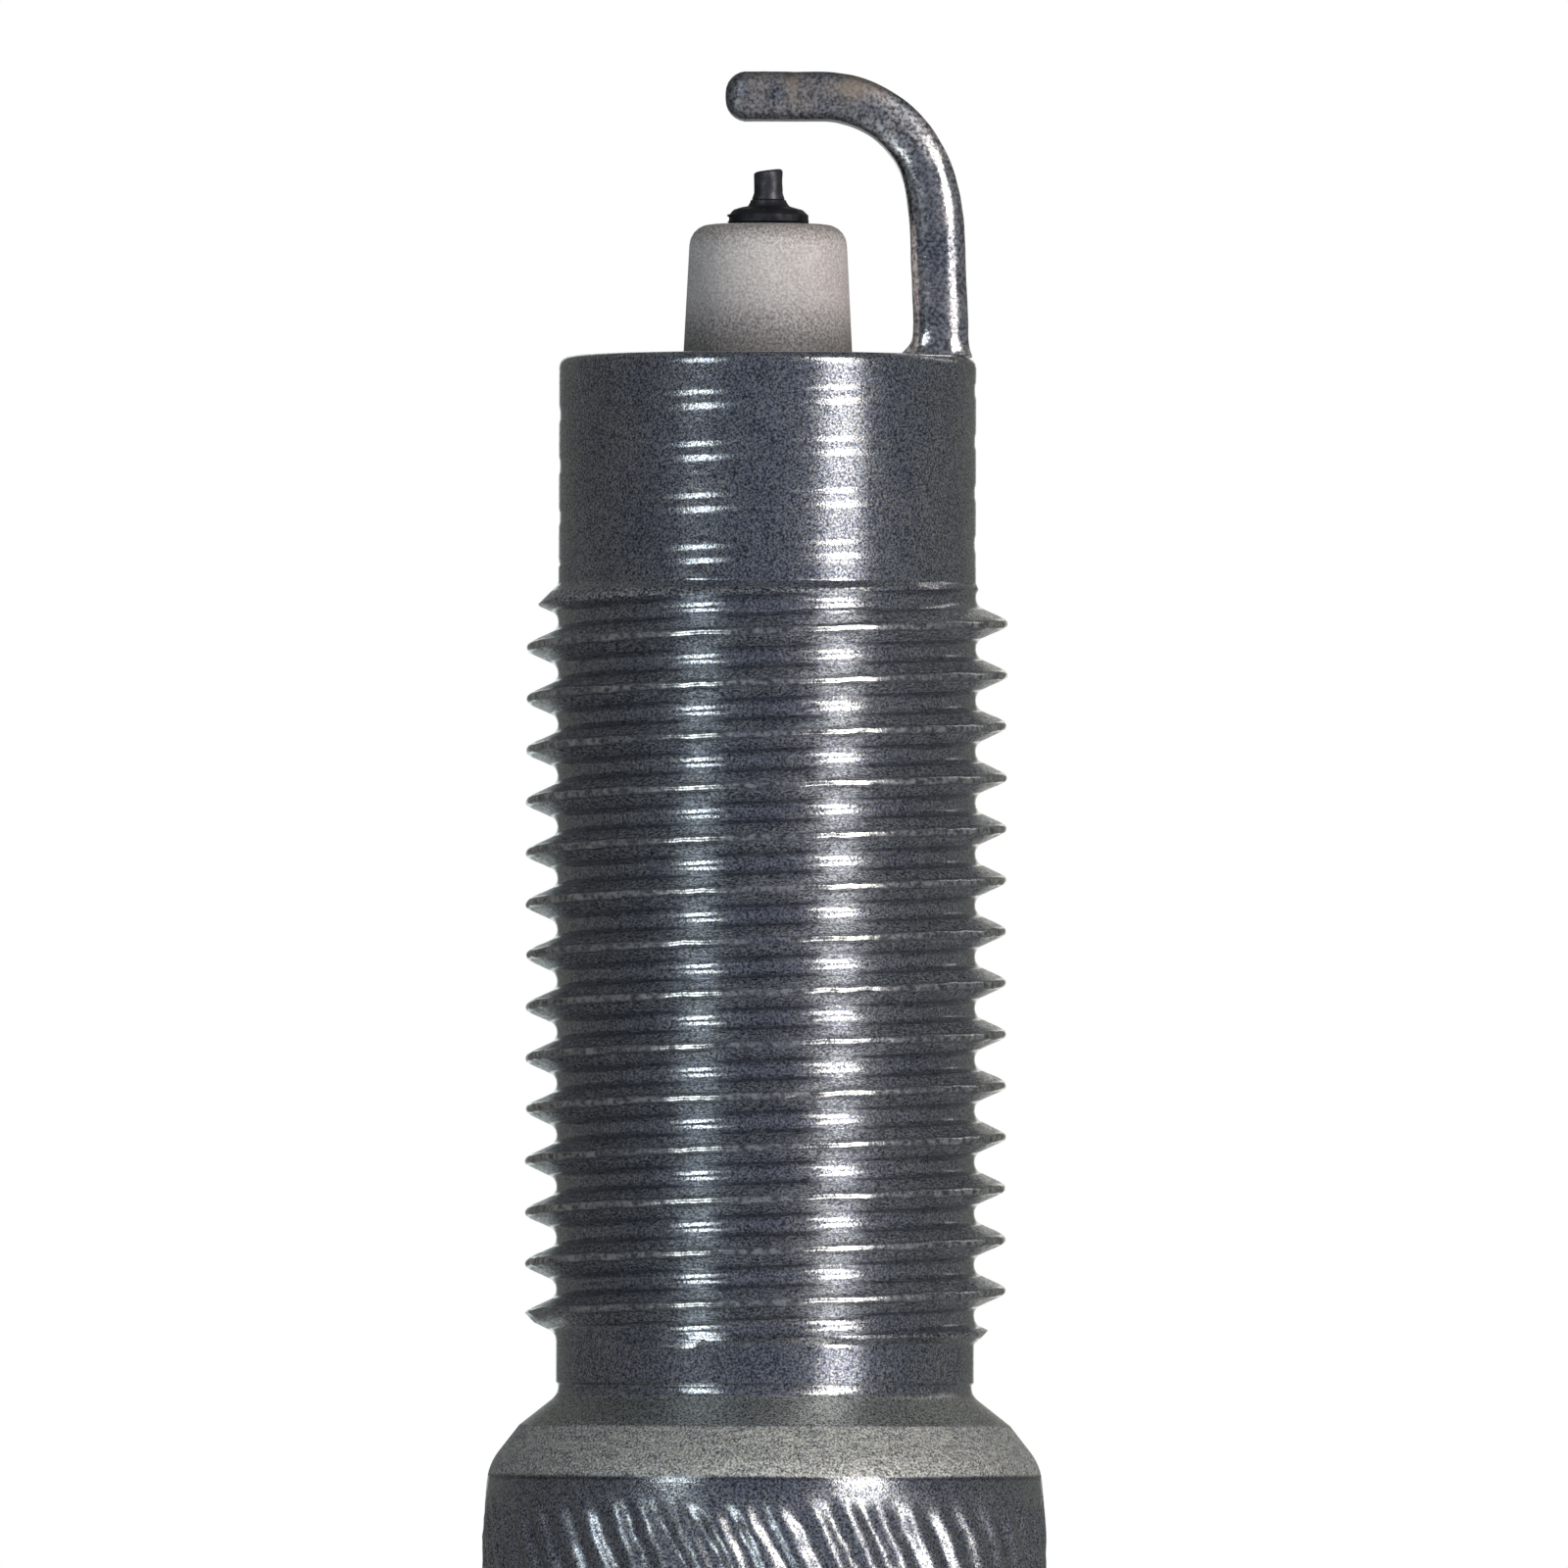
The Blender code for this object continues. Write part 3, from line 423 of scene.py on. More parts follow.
hex_outline = [
    (hex_inset, hex_end, 0), (hex_blank, hex_end + chamfer_drop, 0), (hex_blank, hex_top - chamfer_drop, 0),
    (hex_inset, hex_top, 0), (groove_radius, hex_top, 0.3), (groove_radius, -10.8, 0.3),
    (groove_bulge, -10.1, 0.5), (groove_radius, -9.4, 0.25), (groove_radius, barrel_end, 0.2),
    (barrel_radius, barrel_end, 0.15), (barrel_radius, band_bottom - seam, 0),
]
barrel_taper, seat_taper_start, band_taper_start = 0.0875, -2.23, -2.2
seat_radius, seat_edge_z, seat_rear_z = 6.728, -0.76, -0.515
lead_radius, lead_z = 5.973, 0.45
neck_radius, neck_start, neck_end = 5.035, 1.19, 1.42
seat_outline = [
    (barrel_radius - barrel_taper * (band_top - seat_taper_start), band_top + seam, 0),
    (seat_radius, seat_rear_z, 1.4), (lead_radius, lead_z, 0.08), (neck_radius, neck_start, 0.42),
    (neck_radius, neck_end, 0.05), (thread_root, thread_bottom - seam, 0),
]
shell = lathe("shell", rounded(bore_outline + hex_outline))
hex_edge_round = 0.09
edit(shell)
for side in range(6):
    turn = math.radians(30 + 60 * side)
    away = Vector((math.cos(turn), math.sin(turn), 0))
    bpy.ops.mesh.select_all(action="SELECT")
    bpy.ops.mesh.bisect(plane_co=away * hex_flats / 2 * mm, plane_no=away, use_fill=True, clear_outer=True,
                        threshold=0.0001 * mm)
bpy.ops.mesh.select_mode(type="EDGE")
bpy.ops.mesh.select_all(action="DESELECT")
mesh = bmesh.from_edit_mesh(shell.data)
for edge in mesh.edges:
    middle = (edge.verts[0].co + edge.verts[1].co) / 2 / mm
    near_hex = math.hypot(middle.x, middle.y) > hex_inset + 0.15 and hex_end + 0.1 < middle.z < hex_top - 0.1
    if near_hex and not edge.is_boundary and edge.calc_face_angle(0) > math.radians(16):
        edge.select_set(True)
bmesh.update_edit_mesh(shell.data)
bpy.ops.mesh.bevel(offset=hex_edge_round * mm, segments=3, affect="EDGES", clamp_overlap=True)
deselect_all()

shell_seat = lathe("shell_seat", rounded(seat_outline, 6))

band_strokes = 50
band_columns = band_strokes * 8
band_slant = math.radians(27)
band_depth = 0.115
band_rows = 26
deselect_all()
bpy.ops.mesh.primitive_circle_add(vertices=band_columns, radius=barrel_radius * mm,
                                  location=(0, 0, band_bottom * mm))
shell_band = bpy.context.object
shell_band.name = "shell_band"
bpy.ops.object.mode_set(mode="EDIT")
row_rise = (band_top - band_bottom) / band_rows * mm
for _ in range(band_rows):
    bpy.ops.mesh.extrude_edges_move(TRANSFORM_OT_translate={"value": (0, 0, row_rise)})
place_in_mesh(shell_band)
for vertex in shell_band.data.vertices:
    height = vertex.co.z / mm
    column = math.atan2(vertex.co.y, vertex.co.x) / math.tau * band_strokes
    stroke = math.floor(column + 0.5)
    across = column - stroke
    uneven = noise.noise(Vector((stroke * 3.7, 0.0, 0.0)))
    start, stop = band_top - 0.22 - 0.35 * abs(uneven), band_bottom + 0.45 + 0.3 * uneven
    ends = max(0.0, min(1.0, (start - height) / 0.55, (height - stop) / 0.4))
    ends = ends * ends * (3 - 2 * ends)
    bent = across + 0.10 * noise.noise(Vector((stroke * 1.9, height * 1.6, 4.0)))
    groove = 0.5 + 0.5 * math.cos(bent * math.tau)
    rough = noise.noise(vertex.co / mm * 4.0) * 0.035 * ends + noise.noise(vertex.co / mm * 1.3) * 0.02 * ends
    sink = band_depth * (1 + 0.35 * uneven) * groove * ends + rough
    radius = barrel_radius - barrel_taper * max(0.0, height - band_taper_start) - max(0.0, sink)
    turn = math.atan2(vertex.co.y, vertex.co.x) - (height - band_top) * math.tan(band_slant) / barrel_radius
    vertex.co.x, vertex.co.y = radius * mm * math.cos(turn), radius * mm * math.sin(turn)

join(shell, shell_thread, shell_nose, shell_seat, shell_band)
bridge_rings(shell, trace_top, trace_top + seam)
bridge_rings(shell, thread_top, nose_start)
bridge_rings(shell, thread_bottom - seam, thread_bottom)
bridge_rings(shell, band_top, band_top + seam)
bridge_rings(shell, band_bottom - seam, band_bottom)
place_in_mesh(shell)
face_outwards(shell)
smooth(shell, 34)


def new_finish(name):
    """A material with its Principled shader and its object coordinates."""
    finish = bpy.data.materials.new(name)
    finish.use_nodes = True
    shader = finish.node_tree.nodes["Principled BSDF"]
    place = finish.node_tree.nodes.new("ShaderNodeTexCoord").outputs["Object"]
    return finish, shader, place


def add_node(finish, kind, **settings):
    """Adds a node to a finish and sets its properties."""
    node = finish.node_tree.nodes.new(kind)
    for setting, value in settings.items():
        setattr(node, setting, value)
    return node


def noise_at(finish, place, size_mm, detail=2.0, rough=0.5, stretch=(1.0, 1.0, 1.0)):
    """Noise with features of about a size in millimetres, stretched along the axes."""
    mapping = add_node(finish, "ShaderNodeMapping")
    mapping.inputs["Scale"].default_value = [1 / (size_mm * mm * along) for along in stretch]
    finish.node_tree.links.new(place, mapping.inputs["Vector"])
    texture = add_node(finish, "ShaderNodeTexNoise")
    texture.inputs["Scale"].default_value = 1.0
    texture.inputs["Detail"].default_value = detail
    texture.inputs["Roughness"].default_value = rough
    finish.node_tree.links.new(mapping.outputs["Vector"], texture.inputs["Vector"])
    return texture.outputs["Fac"]


def ramp(finish, source, stops):
    """A colour ramp of (position, grey or colour) stops over a value."""
    node = add_node(finish, "ShaderNodeValToRGB")
    while len(node.color_ramp.elements) < len(stops):
        node.color_ramp.elements.new(0.5)
    for element, (position, colour) in zip(node.color_ramp.elements, stops):
        element.position = position
        colour = colour if isinstance(colour, tuple) else (colour, colour, colour)
        element.color = (*colour, 1.0)
    finish.node_tree.links.new(source, node.inputs["Fac"])
    return node.outputs["Color"]


def blend_colours(finish, amount, first, second, mode="MIX"):
    """Mixes two colours, each a socket or a plain colour, by an amount that is a socket or a number."""
    node = add_node(finish, "ShaderNodeMix", data_type="RGBA", blend_type=mode)
    first_colour, second_colour, mixed_colour = node.inputs[6], node.inputs[7], node.outputs[2]
    for socket, value in ((node.inputs["Factor"], amount), (first_colour, first), (second_colour, second)):
        if isinstance(value, (int, float)):
            socket.default_value = value
        elif isinstance(value, tuple):
            socket.default_value = (*value, 1.0)
        else:
            finish.node_tree.links.new(value, socket)
    return mixed_colour


def calculate(finish, operation, *values):
    """A math node over sockets and numbers."""
    node = add_node(finish, "ShaderNodeMath", operation=operation)
    for socket, value in zip(node.inputs, values):
        if isinstance(value, (int, float)):
            socket.default_value = value
        else:
            finish.node_tree.links.new(value, socket)
    return node.outputs["Value"]


def add_bump(finish, shader, height, depth_mm, strength=1.0, under=None):
    """Bump from a height socket, over an earlier bump if there is one."""
    node = add_node(finish, "ShaderNodeBump")
    node.inputs["Strength"].default_value = strength
    node.inputs["Distance"].default_value = depth_mm * mm
    finish.node_tree.links.new(height, node.inputs["Height"])
    if under is not None:
        finish.node_tree.links.new(under, node.inputs["Normal"])
    finish.node_tree.links.new(node.outputs["Normal"], shader.inputs["Normal"])
    return node.outputs["Normal"]


def axis_values(finish, place):
    """Distance from the plug's axis and height along it, both in millimetres."""
    split = add_node(finish, "ShaderNodeSeparateXYZ")
    finish.node_tree.links.new(place, split.inputs["Vector"])
    squares = calculate(finish, "ADD", calculate(finish, "MULTIPLY", split.outputs["X"], split.outputs["X"]),
                        calculate(finish, "MULTIPLY", split.outputs["Y"], split.outputs["Y"]))
    radius = calculate(finish, "DIVIDE", calculate(finish, "SQRT", squares), mm)
    height = calculate(finish, "DIVIDE", split.outputs["Z"], mm)
    return radius, height


def between(finish, value, low, high, soft):
    """One between two values and none outside them, with soft edges."""
    rise = add_node(finish, "ShaderNodeMapRange", interpolation_type="SMOOTHSTEP")
    fall = add_node(finish, "ShaderNodeMapRange", interpolation_type="SMOOTHSTEP")
    for node, start, end in ((rise, low - soft, low + soft), (fall, high + soft, high - soft)):
        finish.node_tree.links.new(value, node.inputs["Value"])
        node.inputs["From Min"].default_value = start
        node.inputs["From Max"].default_value = end
    return calculate(finish, "MULTIPLY", rise.outputs["Result"], fall.outputs["Result"])


plating, shader, place = new_finish("plated_shell_steel")
radius, height = axis_values(plating, place)
grain = noise_at(plating, place, 0.05, 1.0, 0.6)
coarse_grain = noise_at(plating, place, 0.085, 1.0, 0.6)
tints = noise_at(plating, place, 0.10, 1.0, 0.5)
patches = noise_at(plating, place, 1.6, 4.0, 0.6)
scuffs = noise_at(plating, place, 0.45, 4.0, 0.65, (1.0, 1.0, 0.25))
nicks = noise_at(plating, place, 0.20, 3.0, 0.7)
blue_plate, grey_plate, worn_plate = (0.35, 0.36, 0.39), (0.40, 0.41, 0.43), (0.45, 0.45, 0.45)
steel = ramp(plating, patches, [(0.30, blue_plate), (0.55, grey_plate), (0.75, worn_plate)])
blue_tint, straw_tint = (0.43, 0.46, 0.57), (0.58, 0.55, 0.50)
tint = ramp(plating, tints, [(0.38, blue_tint), (0.62, straw_tint)])
steel = blend_colours(plating, 0.5, steel, tint, "OVERLAY")
flank_zone = calculate(plating, "MULTIPLY", between(plating, radius, 5.26, 5.74, 0.05),
                       between(plating, height, 1.6, 21.2, 0.2))
steel = blend_colours(plating, calculate(plating, "MULTIPLY", flank_zone, 0.85), steel, (0.41, 0.425, 0.455))
lead_zone = between(plating, height, lead_z, neck_start - 0.02, 0.06)
steel = blend_colours(plating, calculate(plating, "MULTIPLY", lead_zone, 0.8), steel, (0.44, 0.45, 0.42))
edge_zone = between(plating, height, seat_edge_z - 0.1, seat_edge_z, 0.03)
seat_edge = calculate(plating, "MULTIPLY", edge_zone, 0.7)
steel = blend_colours(plating, seat_edge, steel, (0.15, 0.15, 0.17))
fine_speckle = ramp(plating, grain, [(0.34, 0.10), (0.66, 0.90)])
coarse_speckle = ramp(plating, coarse_grain, [(0.38, 0.14), (0.62, 0.92)])
steel = blend_colours(plating, 0.95, steel, fine_speckle, "OVERLAY")
steel = blend_colours(plating, flank_zone, steel, coarse_speckle, "OVERLAY")
seat_zone = between(plating, height, seat_edge_z, lead_z, 0.06)
seat_steel = ramp(plating, scuffs, [(0.34, (0.41, 0.42, 0.43)), (0.7, (0.68, 0.665, 0.62))])
seat_steel = blend_colours(plating, 0.9, seat_steel, fine_speckle, "OVERLAY")
steel = blend_colours(plating, seat_zone, steel, seat_steel)
crest_zone = between(plating, radius, 5.835, 6.2, 0.02)
crest_zone = calculate(plating, "MULTIPLY", crest_zone, between(plating, height, 1.6, 22.0, 0.2))
steel = blend_colours(plating, crest_zone, steel, ramp(plating, nicks, [(0.40, 0.22), (0.58, 0.90)]))
plating.node_tree.links.new(steel, shader.inputs["Base Color"])
shader.inputs["Metallic"].default_value = 1.0
gloss = ramp(plating, scuffs, [(0.3, 0.16), (0.7, 0.25)])
gloss = blend_colours(plating, flank_zone, gloss, (0.40, 0.40, 0.40))
band_zone = between(plating, height, band_bottom - 0.15, band_top - 0.2, 0.2)
gloss = blend_colours(plating, band_zone, gloss, (0.29, 0.29, 0.29))
gloss = blend_colours(plating, lead_zone, gloss, (0.42, 0.42, 0.42))
gloss = blend_colours(plating, seat_zone, gloss, (0.72, 0.72, 0.72))
plating.node_tree.links.new(gloss, shader.inputs["Roughness"])
root_zone = calculate(plating, "MULTIPLY", between(plating, radius, 5.0, 5.24, 0.04),
                      between(plating, height, 1.4, 21.4, 0.3))
smoother = calculate(plating, "SUBTRACT", 1.0, calculate(plating, "MULTIPLY", root_zone, 0.85))
relief = add_bump(plating, shader, calculate(plating, "MULTIPLY", grain, smoother), 0.006, 0.55)
add_bump(plating, shader, scuffs, 0.010, 0.35, relief)
shell.data.materials.append(plating)
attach(shell, "plug")
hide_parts("metal_shell")

# ---------------------------------------------------------------------------------------------------
# Ground electrode. A strap of nickel alloy with rounded sides, drawn to shape, resistance-welded to the
# shell's end face with a small flare at its foot, then bent over the centre electrode.
# ---------------------------------------------------------------------------------------------------
strap_low, strap_high = [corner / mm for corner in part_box("ground_electrode")]
strap_thickness = 1.29
strap_width = strap_high.y - strap_low.y
side_round, side_squeeze = 0.64, 0.62
foot_x = 4.21
foot_z = strap_low.z - 0.03
leg_top_z = 28.9
leg_lean = 0.070
arm_z = strap_high.z - strap_thickness / 2
first_bend, first_angle = 9.0, math.radians(11)
second_bend = (arm_z - leg_top_z - first_bend * math.sin(first_angle)) / (1 - math.sin(first_angle))
deselect_all()
bpy.ops.mesh.primitive_plane_add(size=mm, location=(foot_x * mm, 0, foot_z * mm))
strap = bpy.context.object
strap.name = strap.data.name = "ground_strap"
bpy.ops.object.mode_set(mode="EDIT")
foot_centre = (foot_x * mm, 0, foot_z * mm)
bpy.ops.transform.resize(value=(strap_thickness, strap_width / side_squeeze, 1), center_override=foot_centre)
bpy.ops.mesh.bevel(offset=side_round * mm, segments=11, affect="VERTICES")
bpy.ops.mesh.select_all(action="SELECT")
bpy.ops.transform.resize(value=(1, side_squeeze, 1), center_override=foot_centre)
foot_rings, foot_step = 9, 0.09
for _ in range(foot_rings):
    bpy.ops.mesh.extrude_region_move(TRANSFORM_OT_translate={"value": (0, 0, foot_step * mm)})
leg_rings = 14
leg_rise = leg_top_z - foot_z - foot_rings * foot_step
leg_move = (-leg_lean / leg_rings * mm, 0, leg_rise / leg_rings * mm)
for _ in range(leg_rings):
    bpy.ops.mesh.extrude_region_move(TRANSFORM_OT_translate={"value": leg_move})
bend_x = foot_x - leg_lean - first_bend
bpy.ops.mesh.spin(steps=10, angle=first_angle, center=(bend_x * mm, 0, leg_top_z * mm), axis=(0, 1, 0))
bend_x += (first_bend - second_bend) * math.cos(first_angle)
bend_z = leg_top_z + (first_bend - second_bend) * math.sin(first_angle)
second_angle = math.pi / 2 - first_angle
bpy.ops.mesh.spin(steps=30, angle=second_angle, center=(bend_x * mm, 0, bend_z * mm), axis=(0, 1, 0))
end_round, end_rings = 0.58, 7
arm_length = bend_x - strap_low.x - end_round
arm_rings = 16
for _ in range(arm_rings):
    bpy.ops.mesh.extrude_region_move(TRANSFORM_OT_translate={"value": (-arm_length / arm_rings * mm, 0, 0)})
half = strap_thickness / 2
end_turn = math.radians(90) / end_rings
for ring in range(1, end_rings + 1):
    turn = math.radians(90) * ring / end_rings
    move = end_round * (math.sin(turn) - math.sin(turn - end_turn))
    before = half - end_round * (1 - math.cos(turn - end_turn))
    after = half - end_round * (1 - math.cos(turn))
    narrowing = (0.55 + 0.45 * after / half) / (0.55 + 0.45 * before / half)
    bpy.ops.mesh.extrude_region_move(TRANSFORM_OT_translate={"value": (-move * mm, 0, 0)})
    bpy.ops.transform.resize(value=(1, narrowing, after / before), center_override=(0, 0, arm_z * mm))
place_in_mesh(strap)
face_outwards(strap)
flare_height, flare_reach = 0.17, 1.0
inner_flare, outer_flare, side_flare = 0.36, 0.10, 0.14
leg_swell, arm_thinning, thin_start, thin_run, plain_end = 0.02, 0.085, 29.6, 2.6, 0.6
for vertex in strap.data.vertices:
    above = vertex.co.z / mm - foot_z
    away = vertex.co - Vector((foot_x * mm, 0, vertex.co.z))
    if above < flare_reach:
        flare = math.exp(-above / flare_height)
        flare *= 1 + 0.5 * noise.noise(vertex.co / mm * 3.0)
        widest = inner_flare if away.x < 0 else outer_flare
        vertex.co.x += widest * mm * flare * max(-1.0, min(1.0, away.x / (0.5 * mm)))
        vertex.co.y += side_flare * mm * flare * max(-1.0, min(1.0, away.y / (0.9 * mm)))
    thinned = max(0.0, min(1.0, (vertex.co.z / mm - thin_start) / thin_run))
    thinned = thinned * thinned * (3 - 2 * thinned)
    dent = noise.noise(vertex.co / mm * 2.1) * 0.010 + noise.noise(vertex.co / mm * 6.0) * 0.005
    from_end = max(0.0, min(1.0, (vertex.co.x / mm - strap_low.x) / plain_end))
    vertex.co += vertex.normal * ((dent - arm_thinning * thinned) * from_end + leg_swell) * mm
smooth(strap, 60)

strap_alloy, shader, place = new_finish("ground_electrode_alloy")
grain = noise_at(strap_alloy, place, 0.085, 1.5, 0.6)
patches = noise_at(strap_alloy, place, 0.9, 4.0, 0.6)
radius, height = axis_values(strap_alloy, place)
leg_steel = ramp(strap_alloy, patches, [(0.3, (0.42, 0.43, 0.47)), (0.7, (0.66, 0.63, 0.63))])
arm_steel = ramp(strap_alloy, patches, [(0.3, (0.19, 0.20, 0.235)), (0.7, (0.31, 0.30, 0.32))])
arm_zone = between(strap_alloy, height, 31.6, 34.5, 0.6)
alloy = blend_colours(strap_alloy, arm_zone, leg_steel, arm_steel)
speckle = ramp(strap_alloy, grain, [(0.36, 0.16), (0.64, 0.88)])
alloy = blend_colours(strap_alloy, 0.95, alloy, speckle, "OVERLAY")
warm_zone = calculate(strap_alloy, "MULTIPLY", between(strap_alloy, height, 32.6, 34.0, 0.35),
                      ramp(strap_alloy, patches, [(0.42, 0.0), (0.62, 0.75)]))
alloy = blend_colours(strap_alloy, warm_zone, alloy, (0.36, 0.30, 0.25))
strap_alloy.node_tree.links.new(alloy, shader.inputs["Base Color"])
shader.inputs["Metallic"].default_value = 1.0
gloss = blend_colours(strap_alloy, arm_zone, ramp(strap_alloy, patches, [(0.3, 0.15), (0.7, 0.24)]),
                      ramp(strap_alloy, patches, [(0.3, 0.42), (0.7, 0.56)]))
strap_alloy.node_tree.links.new(gloss, shader.inputs["Roughness"])
relief = add_bump(strap_alloy, shader, grain, 0.010, 0.5)
add_bump(strap_alloy, shader, patches, 0.03, 0.3, relief)
strap.data.materials.append(strap_alloy)
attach(strap, "plug")
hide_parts("ground_electrode")

# ---------------------------------------------------------------------------------------------------
# Centre electrode. A nickel-alloy sheath pressed round a copper core, with a head that the glass seal
# holds. Its end is laser-welded to the fine wire, which leaves a dark lumpy cone over the ceramic.
# ---------------------------------------------------------------------------------------------------
electrode_low, electrode_high = [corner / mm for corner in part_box("centre_electrode")]
core_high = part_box("centre_electrode_core")[1] / mm
tip_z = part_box("insulator")[1].z / mm
cone_z = electrode_high.z
sheath_radius, head_radius, stub_radius, core_bore = 1.025, 1.95, 1.2, 0.57
shoulder_z, head_top, head_end = 11.762, 10.837, 9.837
core_bore_end = core_high.z + 0.03
sheath_outline = [
    (0, cone_z, 0), (0.43, cone_z, 0.02), (0.52, cone_z - 0.15, 0.10), (0.84, cone_z - 0.24, 0.08),
    (0.985, cone_z - 0.37, 0.07), (0.995, tip_z + 0.05, 0.03), (0.93, tip_z + 0.015, 0.02),
    (sheath_radius, tip_z - 0.25, 0.05), (sheath_radius, shoulder_z, 0.1), (head_radius, head_top, 0.1),
    (head_radius, head_end, 0.1), (stub_radius, head_end, 0.05), (stub_radius, electrode_low.z, 0.08),
    (core_bore, electrode_low.z, 0.05), (core_bore, core_bore_end, 0.05), (0, core_bore_end, 0),
]
centre_electrode = lathe("electrode_sheath", rounded(sheath_outline, 3), small_turn_steps)
edit(centre_electrode)
bpy.ops.mesh.select_all(action="DESELECT")
mesh = bmesh.from_edit_mesh(centre_electrode.data)
for face in mesh.faces:
    if face.calc_center_median().z > (tip_z + 0.03) * mm:
        face.select_set(True)
bmesh.update_edit_mesh(centre_electrode.data)
bpy.ops.mesh.subdivide(number_cuts=2)
place_in_mesh(centre_electrode)
for vertex in centre_electrode.data.vertices:
    lift = min(1.0, max(0.0, (vertex.co.z / mm - tip_z - 0.02) / 0.10))
    lift *= max(0.0, min(1.0, (cone_z - vertex.co.z / mm) / 0.05))
    lump = 0.040 * noise.noise(vertex.co / mm * 2.3) + 0.012 * noise.noise(vertex.co / mm * 5.0)
    vertex.co += vertex.normal * (lump - 0.008) * lift * mm
smooth(centre_electrode, 60)

electrode_alloy, shader, place = new_finish("centre_electrode_alloy")
grain = noise_at(electrode_alloy, place, 0.05, 2.0, 0.6)
soot = noise_at(electrode_alloy, place, 0.35, 4.0, 0.6)
black, dark_grey, bare_metal = (0.030, 0.030, 0.036), (0.055, 0.055, 0.065), (0.16, 0.15, 0.14)
alloy = ramp(electrode_alloy, soot, [(0.35, black), (0.6, dark_grey), (0.8, bare_metal)])
speckle = ramp(electrode_alloy, grain, [(0.3, 0.3), (0.7, 0.7)])
alloy = blend_colours(electrode_alloy, 0.4, alloy, speckle, "OVERLAY")
electrode_alloy.node_tree.links.new(alloy, shader.inputs["Base Color"])
shader.inputs["Metallic"].default_value = 0.8
gloss = ramp(electrode_alloy, soot, [(0.3, 0.62), (0.8, 0.42)])
electrode_alloy.node_tree.links.new(gloss, shader.inputs["Roughness"])
relief = add_bump(electrode_alloy, shader, grain, 0.008, 0.6)
add_bump(electrode_alloy, shader, soot, 0.03, 0.4, relief)
centre_electrode.data.materials.append(electrode_alloy)
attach(centre_electrode, "plug")
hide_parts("centre_electrode")

# ---------------------------------------------------------------------------------------------------
# Fine wire. A short length of hard precious-metal alloy, butt-welded on the cone. It stands a little
# askew and its end is worn uneven.
# ---------------------------------------------------------------------------------------------------
wire_low, wire_high = [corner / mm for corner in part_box("fine_wire_tip")]
wire_radius = wire_high.x - 0.002
wire_foot, wire_end = cone_z + 0.006, wire_high.z - 0.01
wire_outline = [
    (0, wire_foot, 0), (0.41, wire_foot, 0.02), (wire_radius, wire_foot + 0.16, 0.12),
    (wire_radius, wire_foot + 0.40, 0), (wire_radius, wire_end, 0.09), (0, wire_end, 0),
]
fine_wire = lathe("fine_wire", rounded(wire_outline, 4), 48)
edit(fine_wire)
bpy.ops.mesh.subdivide(number_cuts=2)
place_in_mesh(fine_wire)
end_slope = 0.09
for vertex in fine_wire.data.vertices:
    share = (vertex.co.z / mm - wire_low.z) / (wire_high.z - wire_low.z)
    lump = 0.022 * noise.noise(vertex.co / mm * 3.5 + Vector((5.0, 0, 0)))
    vertex.co += Vector((vertex.normal.x, vertex.normal.y, 0)) * lump * mm
    if share > 0.5:
        vertex.co.z -= end_slope * (0.5 - vertex.co.x / (2 * wire_radius * mm)) * (share - 0.5) * 2 * mm
smooth(fine_wire, 50)

wire_metal, shader, place = new_finish("fine_wire_metal")
grain = noise_at(wire_metal, place, 0.05, 2.0, 0.6)
tarnish = noise_at(wire_metal, place, 0.3, 3.0, 0.6)
metal = ramp(wire_metal, tarnish, [(0.35, (0.060, 0.060, 0.072)), (0.75, (0.15, 0.145, 0.16))])
speckle = ramp(wire_metal, grain, [(0.3, 0.3), (0.7, 0.7)])
metal = blend_colours(wire_metal, 0.4, metal, speckle, "OVERLAY")
wire_metal.node_tree.links.new(metal, shader.inputs["Base Color"])
shader.inputs["Metallic"].default_value = 0.9
gloss = ramp(wire_metal, tarnish, [(0.3, 0.52), (0.8, 0.38)])
wire_metal.node_tree.links.new(gloss, shader.inputs["Roughness"])
relief = add_bump(wire_metal, shader, grain, 0.008, 0.6)
add_bump(wire_metal, shader, tarnish, 0.02, 0.4, relief)
fine_wire.data.materials.append(wire_metal)
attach(fine_wire, "plug")
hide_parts("fine_wire_tip")

# ---------------------------------------------------------------------------------------------------
# Insulator. One piece of alumina, pressed, turned, fired at high heat and glazed behind the shell only.
# The nose stays matt, with painted shade darkening it towards its foot and its tip; the rear has five ribs
# against flash-over.
# ---------------------------------------------------------------------------------------------------
rear_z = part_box("insulator")[0].z / mm
electrode_bore, stud_bore = 1.075, 2.1
body_radius, flange_radius, rear_radius = 3.7, 5.725, 4.9
rib_radius, rib_round, rib_step, rib_spacing, rib_start = 5.32, 0.33, 0.35, 2.7, 2.4
bore_seam = (electrode_bore, 20.0, 0)
ceramic_outline = [
    bore_seam, (electrode_bore, tip_z, 0.06), (1.895, tip_z, 0.52), (2.06, 26.5, 6.0), (2.795, 13.692, 0.4),
    (body_radius, 13.17, 0.3), (body_radius, -1.6, 0.4), (flange_radius, -3.625, 0.4),
    (flange_radius, -12.71, 0.2), (rear_radius, -13.06, 0.1),
]
for rib in range(5):
    top = collar_end - rib_start - rib_spacing * rib
    ceramic_outline += [
        (rear_radius, top, rib_round), (rib_radius, top - rib_step, rib_round),
        (rib_radius, top - 2 * rib_step, rib_round), (rear_radius, top - 3 * rib_step, rib_round),
    ]
ceramic_outline += [
    (rear_radius, rear_z + 2.4, 1.5), (4.45, rear_z, 0.65), (stud_bore, rear_z, 0.15),
    (stud_bore, 10.767, 0.1), (electrode_bore, 11.792, 0.1), bore_seam,
]
